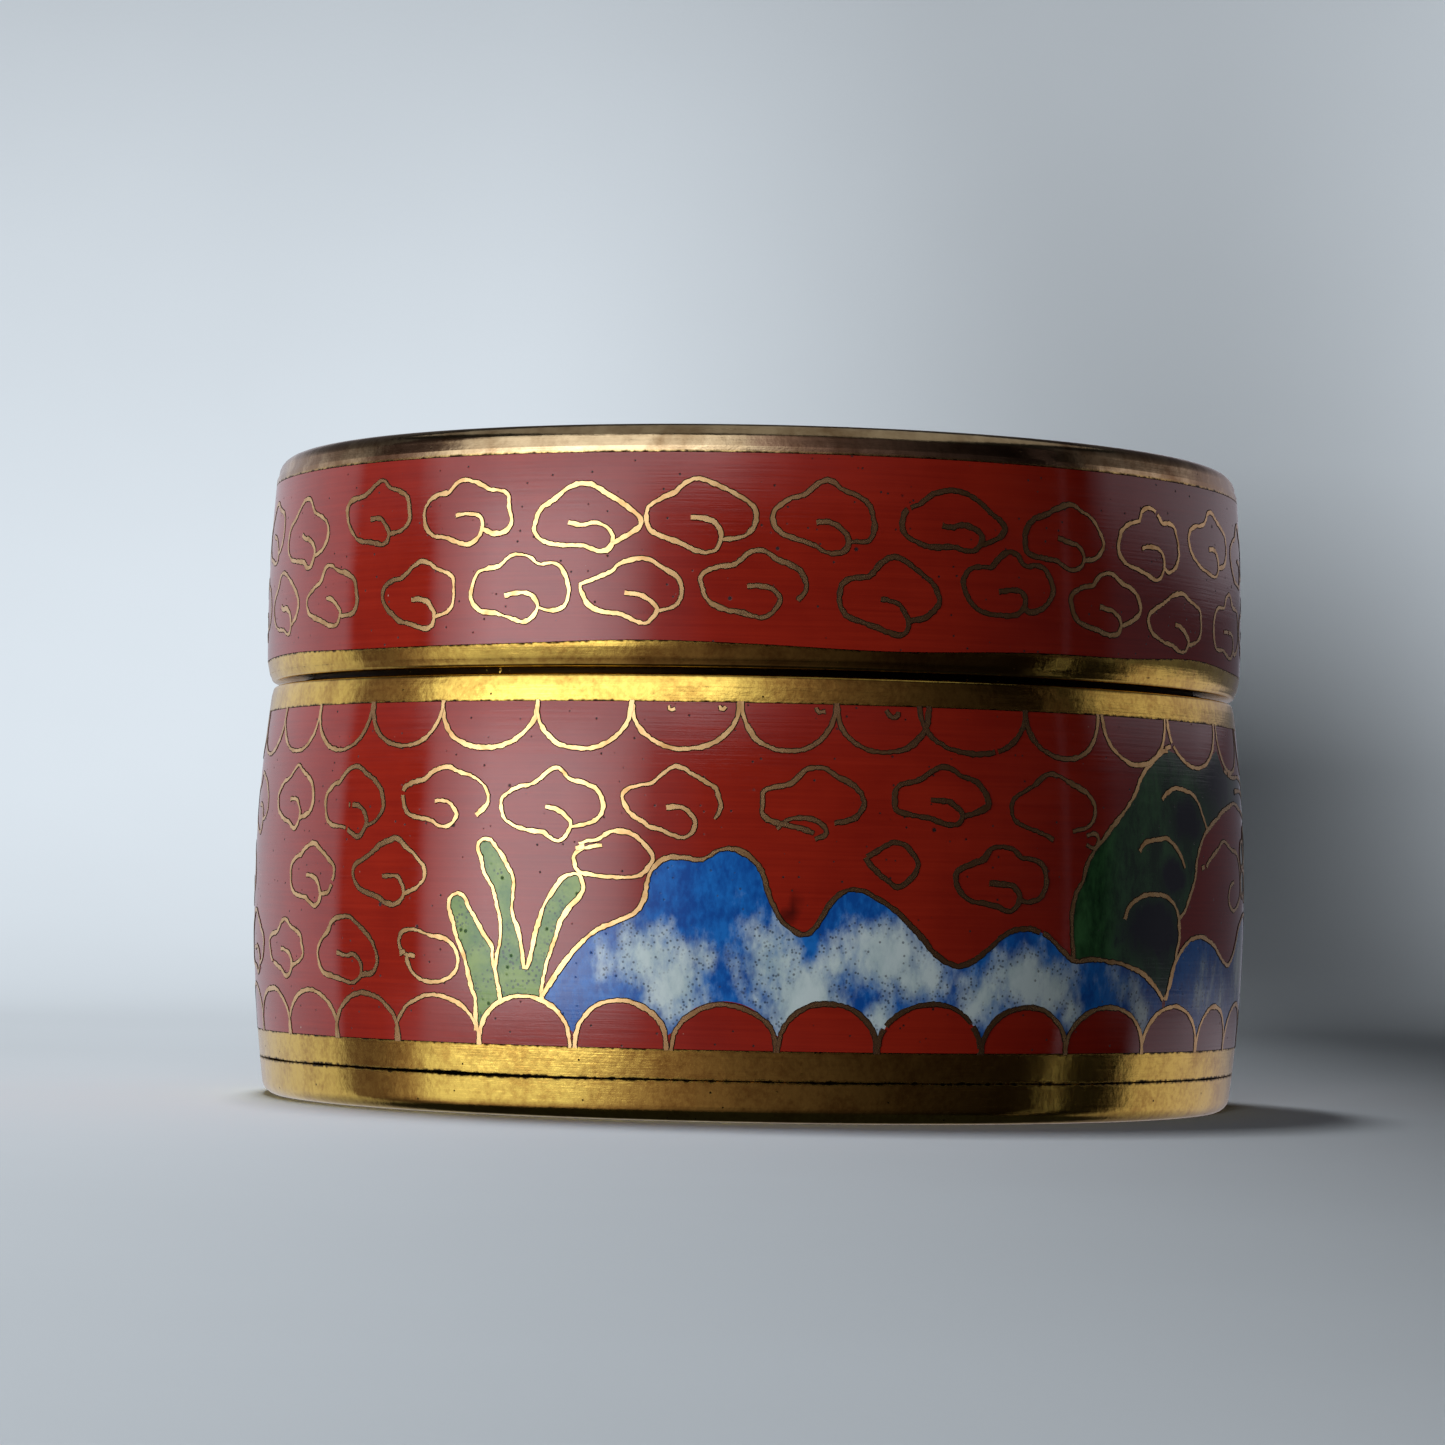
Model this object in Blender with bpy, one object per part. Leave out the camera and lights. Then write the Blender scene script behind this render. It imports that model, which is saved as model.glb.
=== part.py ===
"""Round cloisonne enamel box with a lift-off lid, 58 mm across and 38 mm tall.

Every metal piece and every sheet of red enamel is turned about +Z from a half section. Two curves,
one for the body's barrel side and one for the lid's, give all of them their radii. The red enamel
of the body has windows, and the picture's larger cells of blue and green enamel lie in them, one
wire's width away. Angles run from the front, -Y, towards +X.
"""
import math

import bmesh
import bpy
from mathutils import Vector

MM = 0.001

# Overall form
BODY_RADIUS = 29.0 * MM        # at the belly of the body
BODY_BULGE = 0.8 * MM          # how far the body's two ends lie inside its belly
BODY_HEIGHT = 23.65 * MM       # from the foot to the mouth
LID_SETBACK = 0.4 * MM         # how much less the lid's widest radius is than the body's
LID_BULGE = 0.45 * MM          # how far the lid's top corner lies inside its widest ring
LID_HEIGHT = 13.05 * MM        # from the lid's lower edge to the top of its corner
LID_BELLY_HEIGHT = 3.5 * MM    # of the lid's widest ring, over its lower edge
DOME_RISE = 1.0 * MM           # of the lid's crown, over its rim

# Metal
METAL_WALL = 0.9 * MM
EDGE_ROUNDING = 0.25 * MM      # on the mouth of the body and the lower edge of the lid
CROWN_ROUNDING = 1.0 * MM      # on the lid's top corner
FOOT_ROUNDING = 0.9 * MM       # on the base's lower corner
CROWN_LAND = 1.2 * MM          # flat of bare metal between the top corner and the crown's enamel
BASE_HEIGHT = 2.2 * MM         # of the base's bare side, up to its seam
BASE_FLOOR = 1.0 * MM          # thickness of the base's floor
BASE_LEDGE = 0.4 * MM          # how far the base's upright rim stands over its floor
FOOT_LAND = 2.6 * MM           # width of the ring that the box stands on, with its rounding

# Enamel
ENAMEL_THICKNESS = 0.8 * MM
BODY_FOOT_BAND = 1.6 * MM      # bare band between the base's seam and the body's enamel
BODY_MOUTH_BAND = 1.5 * MM     # bare band over the body's enamel
LID_LOWER_BAND = 1.25 * MM     # bare band under the lid's enamel
LID_UPPER_BAND = 1.6 * MM      # bare band over the lid's enamel, with the corner rounding
WIRE_WIDTH = 0.4 * MM          # of the wire between two colours of enamel
SCALLOP_DEPTH = 2.6 * MM       # of the rows of scallops at the body enamel's foot and top

# Collar that guides the lid
COLLAR_WALL = 0.7 * MM
COLLAR_IN_BODY = 4.0 * MM      # length below the mouth
COLLAR_IN_LID = 3.5 * MM       # length over the mouth
COLLAR_CHAMFER = 0.3 * MM

# Clearances
SEAT_GAP = 0.3 * MM            # between the body's mouth and the lid that rests on it
BOND_GAP = 0.3 * MM            # between enamel and metal, and between soldered pieces

# Smoothness
STEPS_ROUND = 60               # flat faces round the box
ARC_STEPS = 3                  # flats in each small rounding
BODY_STEPS = 4                 # flats up the body's barrel side
LID_STEPS = 2                  # flats up the lid's side
DOME_STEPS = 3                 # flats from the lid's axis to the edge of its crown
CELL_STEPS = 3                 # flats across each cell of the picture
TIP_RATIO = 2.0                # most that a cell's sharp corner may move, in margins
MERGE_DISTANCE = 1e-7
SHARP_ANGLE = math.radians(30)

# The picture. Each point is an angle in degrees and a share of the body enamel's height.
FRONT_RIDGE = ((-21.5, 0.20), (-17.0, 0.33), (-12.0, 0.39), (-10.0, 0.52), (-6.0, 0.55), (-2.0, 0.58),
               (1.5, 0.47), (5.0, 0.34), (9.0, 0.45), (12.5, 0.46), (17.5, 0.35), (22.5, 0.26),
               (28.0, 0.35), (32.0, 0.35), (38.0, 0.27), (45.0, 0.26), (51.0, 0.18))
SIDE_RIDGE = ((54.0, 0.24), (57.0, 0.33), (63.0, 0.33), (69.0, 0.26), (75.0, 0.36), (81.0, 0.42),
              (88.0, 0.36), (95.0, 0.28), (101.0, 0.18))
BACK_RIDGE = ((152.0, 0.18), (158.0, 0.34), (164.0, 0.40), (170.0, 0.30), (176.0, 0.46), (183.0, 0.56),
              (190.0, 0.50), (197.0, 0.32), (204.0, 0.42), (211.0, 0.38), (218.0, 0.26), (225.0, 0.18))
TRUNK_LEFT = (FRONT_RIDGE[-1], FRONT_RIDGE[-2], FRONT_RIDGE[-3], (37.0, 0.44), (40.5, 0.60),
              (44.0, 0.70), (49.0, 0.80), (58.0, 0.82), (68.0, 0.82), (80.0, 0.81), (92.0, 0.78),
              (104.0, 0.75))
TRUNK_RIGHT = ((53.0, 0.18), SIDE_RIDGE[0], (54.5, 0.33), (56.5, 0.44), (59.7, 0.61), (62.0, 0.67),
               (64.0, 0.69), (68.0, 0.72), (74.0, 0.73), (82.0, 0.74), (92.0, 0.73), (104.0, 0.72))


def bulged(radius, bulge, height, belly, reach):
    """Radius at a height of a side that bulges by an arc: full at the belly, less at its reach."""
    return radius - bulge * ((height - belly) / reach) ** 2


LID_FOOT = BODY_HEIGHT + SEAT_GAP
LID_TOP = LID_FOOT + LID_HEIGHT


def body_radius(height):
    """Radius of the body's outer side at a height over the foot."""
    return bulged(BODY_RADIUS, BODY_BULGE, height, BODY_HEIGHT / 2, BODY_HEIGHT / 2)


def lid_radius(height):
    """Radius of the lid's outer side at a height over the foot."""
    belly = LID_FOOT + LID_BELLY_HEIGHT
    return bulged(BODY_RADIUS - LID_SETBACK, LID_BULGE, height, belly, LID_TOP - belly)


SKIN = ENAMEL_THICKNESS + BOND_GAP   # depth of the recess that the enamel lies in
WALL = SKIN + METAL_WALL             # whole thickness of the side
BODY_ENAMEL = (BASE_HEIGHT + BODY_FOOT_BAND, BODY_HEIGHT - BODY_MOUTH_BAND)
LID_ENAMEL = (LID_FOOT + LID_LOWER_BAND, LID_TOP - LID_UPPER_BAND)
MOUTH_BORE = body_radius(BODY_HEIGHT) - WALL
COLLAR_RADIUS = min(MOUTH_BORE, lid_radius(LID_FOOT) - WALL) - BOND_GAP
CROWN_RADIUS = lid_radius(LID_TOP) - CROWN_ROUNDING - CROWN_LAND


def levels(low, high, count):
    """Evenly spaced heights from low to high."""
    return [low + (high - low) * i / count for i in range(count + 1)]


def corner(centre_r, centre_z, radius, start, end):
    """Points of a quarter arc in the section, by angle in degrees from +R towards +Z."""
    turns = [math.radians(a) for a in levels(start, end, ARC_STEPS)]
    return [(centre_r + radius * math.cos(a), centre_z + radius * math.sin(a)) for a in turns]


def dome_height(r, edge_radius, edge_height):
    """Height of the crown at a radius: a shallow arc that meets the edge height at its edge."""
    return edge_height + DOME_RISE * (1 - (r / edge_radius) ** 2)


def material(name, colour, roughness, metallic):
    made = bpy.data.materials.new(name)
    made.use_nodes = True
    shader = made.node_tree.nodes["Principled BSDF"]
    shader.inputs["Base Color"].default_value = (*colour, 1.0)
    shader.inputs["Roughness"].default_value = roughness
    shader.inputs["Metallic"].default_value = metallic
    made.diffuse_color = (*colour, 1.0)
    return made


def finish(name, mesh, surface):
    """The mesh as a named object with one material, its normals out and its rounds smooth."""
    bmesh.ops.remove_doubles(mesh, verts=mesh.verts, dist=MERGE_DISTANCE)
    bmesh.ops.recalc_face_normals(mesh, faces=mesh.faces)
    data = bpy.data.meshes.new(name)
    mesh.to_mesh(data)
    mesh.free()
    data.materials.append(surface)
    data.shade_smooth()
    data.set_sharp_from_angle(angle=SHARP_ANGLE)
    piece = bpy.data.objects.new(name, data)
    bpy.context.scene.collection.objects.link(piece)
    return piece


def turned(name, section, surface):
    """A solid turned about Z from a closed section of (radius, height) points."""
    mesh = bmesh.new()
    points = [mesh.verts.new((r, 0, z)) for r, z in section]
    edges = []
    for first, second in zip(points, points[1:] + points[:1]):
        if first.co.x > 0 or second.co.x > 0:   # a line on the axis sweeps no face
            edges.append(mesh.edges.new((first, second)))
    bmesh.ops.spin(mesh, geom=points + edges, cent=(0, 0, 0), axis=(0, 0, 1),
                   angle=math.tau, steps=STEPS_ROUND, use_merge=True)
    return finish(name, mesh, surface)


def base_plate(gilt):
    """The base: a turned disc with a bare rounded side, a standing ring and a hollow underside."""
    seam = BASE_HEIGHT - BOND_GAP / 2
    floor_top = seam - BASE_LEDGE
    ledge_bore = body_radius(BASE_HEIGHT) - WALL
    hollow_radius = body_radius(0) - FOOT_LAND
    rounding_centre = body_radius(FOOT_ROUNDING) - FOOT_ROUNDING
    section = [(0, floor_top - BASE_FLOOR), (hollow_radius, floor_top - BASE_FLOOR), (hollow_radius, 0)]
    section += corner(rounding_centre, FOOT_ROUNDING, FOOT_ROUNDING, -90, 0)
    section += [(body_radius(seam), seam), (ledge_bore, seam), (ledge_bore, floor_top), (0, floor_top)]
    return turned("base_plate", section, gilt)


def body_shell(gilt):
    """The body: a barrel-sided tube with two bare bands and a recess between them for enamel."""
    foot = BASE_HEIGHT + BOND_GAP / 2
    low, high = BODY_ENAMEL
    outer = [(body_radius(foot), foot), (body_radius(low), low)]
    outer += [(body_radius(z) - SKIN, z) for z in levels(low, high, BODY_STEPS // 2)]
    outer += [(body_radius(high), high)]
    outer += corner(body_radius(BODY_HEIGHT) - EDGE_ROUNDING, BODY_HEIGHT - EDGE_ROUNDING,
                    EDGE_ROUNDING, 0, 90)
    inner = [(body_radius(z) - WALL, z) for z in levels(BODY_HEIGHT, foot, BODY_STEPS // 2)]
    return turned("body_shell", outer + inner, gilt)


def mouth_collar(gilt):
    """The plain ring inside the mouth that keeps the lid centred."""
    foot, top = BODY_HEIGHT - COLLAR_IN_BODY, BODY_HEIGHT + COLLAR_IN_LID
    bore = COLLAR_RADIUS - COLLAR_WALL
    section = [(bore, foot), (COLLAR_RADIUS, foot), (COLLAR_RADIUS, top - COLLAR_CHAMFER),
               (COLLAR_RADIUS - COLLAR_CHAMFER, top), (bore, top)]
    return turned("mouth_collar", section, gilt)


def lid_shell(gilt):
    """The lid: a cap with a bare lower band, a recess for enamel, and a rounded upper rim."""
    low, high = LID_ENAMEL
    outer = corner(lid_radius(LID_FOOT) - EDGE_ROUNDING, LID_FOOT + EDGE_ROUNDING,
                   EDGE_ROUNDING, -90, 0)
    outer += [(lid_radius(low), low)]
    outer += [(lid_radius(z) - SKIN, z) for z in levels(low, high, LID_STEPS)]
    outer += [(lid_radius(high), high)]
    top_corner = lid_radius(LID_TOP) - CROWN_ROUNDING
    outer += corner(top_corner, LID_TOP - CROWN_ROUNDING, CROWN_ROUNDING, 0, 90)
    outer += [(CROWN_RADIUS, LID_TOP)]
    crown = levels(CROWN_RADIUS, 0, DOME_STEPS)
    outer += [(r, dome_height(r, CROWN_RADIUS, LID_TOP - SKIN)) for r in crown]
    bore = lid_radius(LID_TOP) - WALL
    ceiling = [(r, dome_height(r, bore, LID_TOP - WALL)) for r in levels(0, bore, DOME_STEPS)]
    inner = [(lid_radius(z) - WALL, z) for z in levels(LID_TOP - WALL, LID_FOOT, LID_STEPS)[1:]]
    return turned("lid_shell", outer + ceiling + inner, gilt)


def enamel_sleeve(name, radius_at, span, rows, surface):
    """A ring of enamel that lies in a recess, its outer face flush with the bands."""
    low, high = span[0] + BOND_GAP, span[1] - BOND_GAP
    outer = [(radius_at(z), z) for z in levels(low, high, rows)]
    inner = [(radius_at(z) - ENAMEL_THICKNESS, z) for z in levels(high, low, rows)]
    return turned(name, outer + inner, surface)


def lid_crown_enamel(surface):
    """The domed disc of enamel on top of the lid."""
    edge = CROWN_RADIUS - BOND_GAP
    top = [(r, dome_height(r, CROWN_RADIUS, LID_TOP)) for r in levels(edge, 0, DOME_STEPS)]
    under = [(r, z - ENAMEL_THICKNESS) for r, z in reversed(top)]
    return turned("lid_crown_enamel", under + top, surface)


def picture_point(angle, share):
    """A point of the picture as its distance round the belly and its height."""
    low, high = BODY_ENAMEL
    return Vector((math.radians(angle) * BODY_RADIUS, low + share * (high - low)))


def grown(outline, margin):
    """The outline, which runs anticlockwise, moved outwards by a margin, or inwards by a negative one."""
    moved = []
    for before, point, after in zip(outline[-1:] + outline[:-1], outline, outline[1:] + outline[:1]):
        arriving, leaving = (point - before).normalized(), (after - point).normalized()
        along = (arriving + leaving).normalized()
        reach = min(1 / along.dot(leaving), TIP_RATIO)
        moved.append(point + Vector((along.y, -along.x)) * margin * reach)
    return moved


def on_body(point, lift):
    """Where a point of the picture lies in space, lifted from the body's side."""
    angle = point.x / BODY_RADIUS
    reach = body_radius(point.y) + lift
    return Vector((reach * math.sin(angle), -reach * math.cos(angle), point.y))


def slab(name, outline, lift, depth, surface):
    """A curved slab on the body's side. Its outline is two runs of points that pair up as posts."""
    mesh = bmesh.new()
    posts = []
    for start, end in zip(outline, reversed(outline[len(outline) // 2:])):
        across = [start.lerp(end, k / CELL_STEPS) for k in range(CELL_STEPS + 1)]
        posts.append([mesh.verts.new(on_body(point, lift)) for point in across])
    for post, following in zip(posts, posts[1:]):
        for k in range(CELL_STEPS):
            mesh.faces.new((post[k], post[k + 1], following[k + 1], following[k]))
    grown_back = bmesh.ops.extrude_face_region(mesh, geom=mesh.faces[:], use_keep_orig=True)
    for vert in grown_back["geom"]:
        if isinstance(vert, bmesh.types.BMVert):
            vert.co -= Vector((vert.co.x, vert.co.y, 0)).normalized() * depth
    return finish(name, mesh, surface)


def picture_cell(name, sleeve, foot_side, top_side, surface):
    """A cell of coloured enamel, and the window in the red sleeve that it lies in."""
    outline = [picture_point(*p) for p in foot_side] + [picture_point(*p) for p in reversed(top_side)]
    slab(name, grown(outline, -WIRE_WIDTH / 2), 0, ENAMEL_THICKNESS, surface)
    window = slab(name + "_window", grown(outline, WIRE_WIDTH / 2), BOND_GAP,
                  ENAMEL_THICKNESS + 2 * BOND_GAP, surface)
    window.hide_render = True
    window.display_type = "WIRE"
    cut = sleeve.modifiers.new(name, "BOOLEAN")
    cut.operation = "DIFFERENCE"
    cut.object = window


def rock_cell(name, sleeve, ridge, surface):
    """A cell of rocks, from its ridge down to the crests of the scallops."""
    low, high = BODY_ENAMEL
    crest = SCALLOP_DEPTH / (high - low)
    picture_cell(name, sleeve, [(angle, crest) for angle, _ in ridge], ridge, surface)


def build():
    for old in list(bpy.data.objects):
        bpy.data.objects.remove(old)
    gilt = material("gilded brass", (0.72, 0.50, 0.17), 0.28, 1.0)
    red = material("red enamel", (0.30, 0.018, 0.010), 0.15, 0.0)
    blue = material("blue enamel", (0.03, 0.13, 0.50), 0.15, 0.0)
    green = material("green enamel", (0.015, 0.07, 0.02), 0.15, 0.0)
    base_plate(gilt)
    body_shell(gilt)
    mouth_collar(gilt)
    lid_shell(gilt)
    enamel_sleeve("lid_side_enamel", lid_radius, LID_ENAMEL, LID_STEPS, red)
    lid_crown_enamel(red)
    sleeve = enamel_sleeve("body_enamel", body_radius, BODY_ENAMEL, BODY_STEPS, red)
    rock_cell("front_rocks_enamel", sleeve, FRONT_RIDGE, blue)
    rock_cell("side_rocks_enamel", sleeve, SIDE_RIDGE, blue)
    rock_cell("back_rocks_enamel", sleeve, BACK_RIDGE, blue)
    picture_cell("trunk_enamel", sleeve, TRUNK_RIGHT, TRUNK_LEFT, green)


build()
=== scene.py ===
"""Looks of a round cloisonne enamel box: worn gilt brass, wire cells and ground glass enamel.

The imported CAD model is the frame, and every piece here stands for one of its nodes or lies on one.
The picture is drawn flat, in millimetres. On the sides, x runs round the belly and y is the height.
On the lid's crown, x and y are the plan. One function for each surface lays the drawing on it.
Angles run from the front, -Y, towards +X.
"""

import math

import bmesh
import bpy
from mathutils import Matrix, Vector, kdtree, noise
from mathutils.geometry import delaunay_2d_cdt


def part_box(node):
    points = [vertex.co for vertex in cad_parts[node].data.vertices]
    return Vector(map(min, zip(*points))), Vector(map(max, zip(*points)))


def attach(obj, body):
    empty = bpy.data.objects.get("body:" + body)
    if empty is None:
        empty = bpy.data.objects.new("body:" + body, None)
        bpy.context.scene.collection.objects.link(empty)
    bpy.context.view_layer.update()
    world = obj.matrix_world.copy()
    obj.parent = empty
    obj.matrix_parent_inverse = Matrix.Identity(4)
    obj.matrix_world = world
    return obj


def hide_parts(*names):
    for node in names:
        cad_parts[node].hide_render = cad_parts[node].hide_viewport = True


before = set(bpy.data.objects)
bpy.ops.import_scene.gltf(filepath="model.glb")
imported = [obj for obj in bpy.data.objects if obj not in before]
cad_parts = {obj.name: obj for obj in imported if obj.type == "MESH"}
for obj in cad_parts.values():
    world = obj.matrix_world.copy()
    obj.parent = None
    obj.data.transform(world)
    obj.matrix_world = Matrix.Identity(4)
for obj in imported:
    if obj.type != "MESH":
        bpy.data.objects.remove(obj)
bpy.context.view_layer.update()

bl_info = {
    "name": "Cloisonne Enamel Box",
    "version": (1, 0, 0),
    "blender": (4, 5, 0),
    "location": "View3D > Sidebar > Enamel Box",
    "description": "Builds the looks of a round cloisonne enamel box on its packed CAD model",
    "category": "Object",
}

MM = 0.001

# Sizes in millimetres, most of them from the frame
BOND_GAP = 0.3                 # between a CAD enamel solid and the metal round it
SKIN = 1.1                     # depth of the recess that the enamel lies in
LIP = 0.05                     # how far the walls of a recess or a seam slant
WALL = 2.0                     # whole thickness of the side
BODY_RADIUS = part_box("body_enamel")[1].x / MM
BODY_BULGE = 0.8               # how far the body's two ends lie inside its belly
BODY_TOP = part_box("body_shell")[1].z / MM
SEAM = (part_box("base_plate")[1].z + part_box("body_shell")[0].z) / 2 / MM
BODY_ENAMEL = (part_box("body_enamel")[0].z / MM - BOND_GAP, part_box("body_enamel")[1].z / MM + BOND_GAP)
LID_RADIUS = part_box("lid_side_enamel")[1].x / MM
LID_BULGE = 0.45               # how far the lid's top corner lies inside its widest ring
LID_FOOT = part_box("lid_shell")[0].z / MM
LID_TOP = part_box("lid_shell")[1].z / MM
LID_BELLY = LID_FOOT + 3.5     # height of the lid's widest ring
LID_ENAMEL = (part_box("lid_side_enamel")[0].z / MM - BOND_GAP,
              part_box("lid_side_enamel")[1].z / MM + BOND_GAP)
CROWN_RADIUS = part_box("lid_crown_enamel")[1].x / MM + BOND_GAP
DOME_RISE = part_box("lid_crown_enamel")[1].z / MM - LID_TOP
COLLAR_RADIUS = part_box("mouth_collar")[1].x / MM
COLLAR_SPAN = (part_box("mouth_collar")[0].z / MM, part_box("mouth_collar")[1].z / MM)
COLLAR_WALL = 0.7
COLLAR_CHAMFER = 0.3
COLLAR_DIRT_AND_SHADE = 1.7             # dirt and painted shade in the gap under the lid, where 1 is that of a corner
EDGE_ROUNDING = 0.25
CHAMFER, SMALL_CHAMFER = 0.15, 0.1
LID_LEAN = 0.22                # how far the lid's lower border leans in at its foot
LEAN_CURVE = 1.15
RIM_WEAR = (LID_ENAMEL[1] - 0.1, LID_ENAMEL[1] + 0.15)   # heights between which the rubbed rim begins
# top of the tarnish and painted shade on the lid's lower border
TARNISH_AND_SHADE_TOP = LID_ENAMEL[0] + 0.6
CROWN_ROUNDING = 1.0
CROWN_EDGE = 0.25              # width of the flat metal round the crown's enamel
CROWN_RECESS = (0.1, 0.5, 0.6)   # how its floor rises from its edge to its middle
FOOT_ROUNDING = 0.9
FOOT_LAND = 2.6                # width of the ring that the box stands on
BASE_FLOOR = (0.65, 1.65)      # underside and top of the base's floor
# how much darker the corner of the recess under the base is, where 1 is that of a corner
BASE_CORNER_DARKENING = 0.6
SEAM_ROUNDING = 0.03
SEAM_WAVE, SEAM_GAP, SEAM_GAPE, SEAM_UNEVEN = 0.07, 0.02, 0.1, 0.12
SEAM_OPEN_AT = -34             # degrees, where the seam between base and body stands open
BORDER_BULGE_AT = 57           # degrees, where the lid's lower border bulges up
ENAMEL_DEPTH = 0.8
ENAMEL_SEAM = 0.03             # dark line between enamel and bare metal
SCALLOP_DEPTH = 2.6
SCALLOP_PITCH = 11.25          # degrees
ROCK_TIP = 0.7                 # height of the rocks' lowest tips over the scallops' feet

# Hand work
RIPPLE = 0.010                 # how far grinding by hand leaves a surface from its true curve
RIPPLE_LENGTH = 7.0
SHEET_STEP = 0.6               # spacing of the points in a sheet of enamel
OUTLINE_STEP = 0.3             # and along the outlines in it
WIRE_STEP = 0.17
WIRE_DEPTH = 0.3               # how deep the wires reach into the enamel
WIRE_EDGE_SINK = 0.005         # how far their dark edges end under it
WIRE_SWAY = ((0.06, 1.4), (0.02, 0.5))      # how far a wire strays, and over what length
WIRE_SWELL = ((0.35, 1.5), (0.25, 0.4))     # how its width changes, as a share, and over what length
WIRE_RAGGED = 0.03
WIRE_RISE_SPREAD = 0.01
WIRE_HOLDS = 0.997             # share of the steps in a wire at which it doesn't break
BREAK_SHIFT = 0.05
CLOUD_BEND = 0.13              # how far hand bending moves a cloud's points, in half widths
BODY_CLOUD, LID_CLOUD = (2.8, 1.8), (2.9, 1.85)   # half width and half height of the clouds round the back
ROW_OVERLAP = 0.05             # how far the rows of scallops reach over the enamel's edge
TOP_ROW_GAP, FOOT_ROW_GAP, CROWN_ROW_GAP = 1.4, 0.7, 1.2   # degrees, the widest between two arcs
CUT = -100.0                   # angle at which the sheets of enamel begin and end
ROUND_STEPS = 288
CORNER_STEPS = 6
WALL_STEPS = 8

# The drawing of the front, as it was read off the photograph: angles in degrees, heights in millimetres
TOP_JOINTS = (-69, -58, -47.5, -36, -24.5, -13, -2, 9, 18.5, 30, 41.5, 53, 66.5)
FOOT_JOINTS = (-63.5, -52, -41.5, -30.5, -19, -8.5, 3, 13.5, 25.5, 36.5, 48.5, 60.5, 70.5)
FRONT_RIDGE = ((-22.4, 6.5), (-20, 8.2), (-16.9, 9.8), (-13.9, 10.55), (-12.3, 10.9), (-11.3, 11.7),
    (-10.8, 13.0), (-9.3, 13.8), (-7.4, 13.9), (-5.4, 13.8), (-3.6, 14.3), (-2, 14.4), (-0.3, 14.0),
    (1.1, 13.1), (1.9, 11.8), (3.2, 10.6), (5.2, 10.0), (6.5, 10.3), (8, 11.55), (9.7, 12.3), (11.6, 12.3),
    (14.6, 11.5), (17.6, 10.2), (19.3, 9.2), (21.7, 8.5), (23.5, 8.6), (25.6, 9.3), (28.2, 10.3),
    (30.5, 10.5), (32.9, 10.2), (35.5, 9.3), (37.2, 8.8), (40.7, 8.9), (44.8, 8.6), (48.5, 8.0), (52, 6.7))
SIDE_RIDGE = ((52.6, 6.7), (54, 8.6), (56.4, 9.8), (59.4, 10.2), (63.1, 9.9), (66.4, 9.1), (69.5, 8.6),
    (72.5, 9.3), (76, 10.9), (81, 11.5), (85, 11.2), (89, 10.0), (93, 9.2), (97, 8.7), (101, 6.9))
BACK_RIDGE = ((152, 6.9), (155, 8.6), (159, 10.4), (164, 11.2), (167.5, 10.2), (170, 9.3), (173, 10.4),
    (175.5, 12.8), (179, 13.9), (183, 14.1), (187, 13.9), (190, 13.0), (193, 10.9), (197, 9.6),
    (200.5, 10.4), (204, 11.6), (208, 11.4), (212, 10.4), (216, 8.9), (221, 8.0), (225, 6.9))
TRUNK_LEFT = ((36.9, 8.9), (36.5, 10.5), (36.5, 11.6), (37, 12.4), (38, 13.1), (38.5, 13.9), (39.5, 14.7),
    (41, 15.4), (42, 15.9), (43.5, 16.5), (45, 17.2), (46.5, 18), (47.5, 18.8), (49, 19.5), (51, 20.1),
    (53, 20.5))
TRUNK_RIGHT = ((100, 17.1), (92, 16.9), (84, 17.1), (77, 17.5), (73, 17.8), (70, 17.6), (67, 17.2),
    (64, 16.6), (61.5, 16), (60, 15.3), (59, 14.5), (58.5, 13.5), (57.5, 12.7), (56, 11.6), (54.6, 11.1),
    (54.9, 10.2), (54.5, 9.4), (54, 8.5), (53.5, 7.7), (52.3, 6.7))
BRANCH_TOP = ((66.5, 20.7), (69, 19.6), (73, 19.3), (78, 19.4), (84, 18.9), (92, 18.3), (99, 18.1),
    (104, 17.4))
BRANCH_TIP = ((104, 17.4), (103.4, 17.1), (100, 17.1))
TRUNK_FOLDS = (
    ((51.5, 17.7), (52.5, 18.1), (54.5, 18.4), (57.5, 18.2), (59, 17.9), (60, 17.5), (61, 16.8), (62, 16.2)),
    ((47, 14.8), (48, 15.3), (50, 15.5), (52, 15.6), (53, 15.4), (54.5, 14.9), (55.5, 14.4), (56, 14)),
    ((44.5, 11.1), (45, 11.7), (46.5, 12.2), (49, 12.5), (51.5, 12.4), (53.5, 12), (54.5, 11.4), (55, 10.6)),
    ((74, 18.5), (79, 18.6), (84, 18.1), (88, 17.6)))
BLADES = (
    ((-30.6, 6.2), (-31, 6.6), (-31.5, 7.5), (-32, 8.5), (-33, 9.5), (-33.5, 10.3), (-34, 11), (-34, 11.5),
     (-33, 11.8), (-32, 11.6), (-31.5, 11.1), (-30.5, 10.4), (-29.5, 9.7), (-28.5, 9), (-28.5, 8.4),
     (-28, 7.6), (-27.5, 6.5)),
    ((-27.5, 6.5), (-28, 7.6), (-28, 8.4), (-27.5, 9.4), (-27.5, 10.4), (-28, 11.2), (-28.5, 12.1),
     (-29.5, 12.9), (-30, 13.7), (-30.5, 14.3), (-30, 14.7), (-29, 14.7), (-28.5, 14.5), (-27.5, 13.9),
     (-26.5, 13.1), (-26, 12.5), (-26, 10.9), (-25.5, 10.1), (-25, 9.2), (-24.5, 7.9), (-24, 8.4),
     (-23.5, 9.3), (-23, 10.2), (-22.5, 11.1), (-21.5, 11.9), (-20.5, 12.6), (-19.5, 12.9), (-18.5, 12.9),
     (-18, 12.2), (-18.5, 11.7), (-19.5, 11.2), (-20.5, 10.4), (-21, 9.6), (-21.5, 8.8), (-22, 8.1),
     (-22.5, 6.7)))
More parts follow.
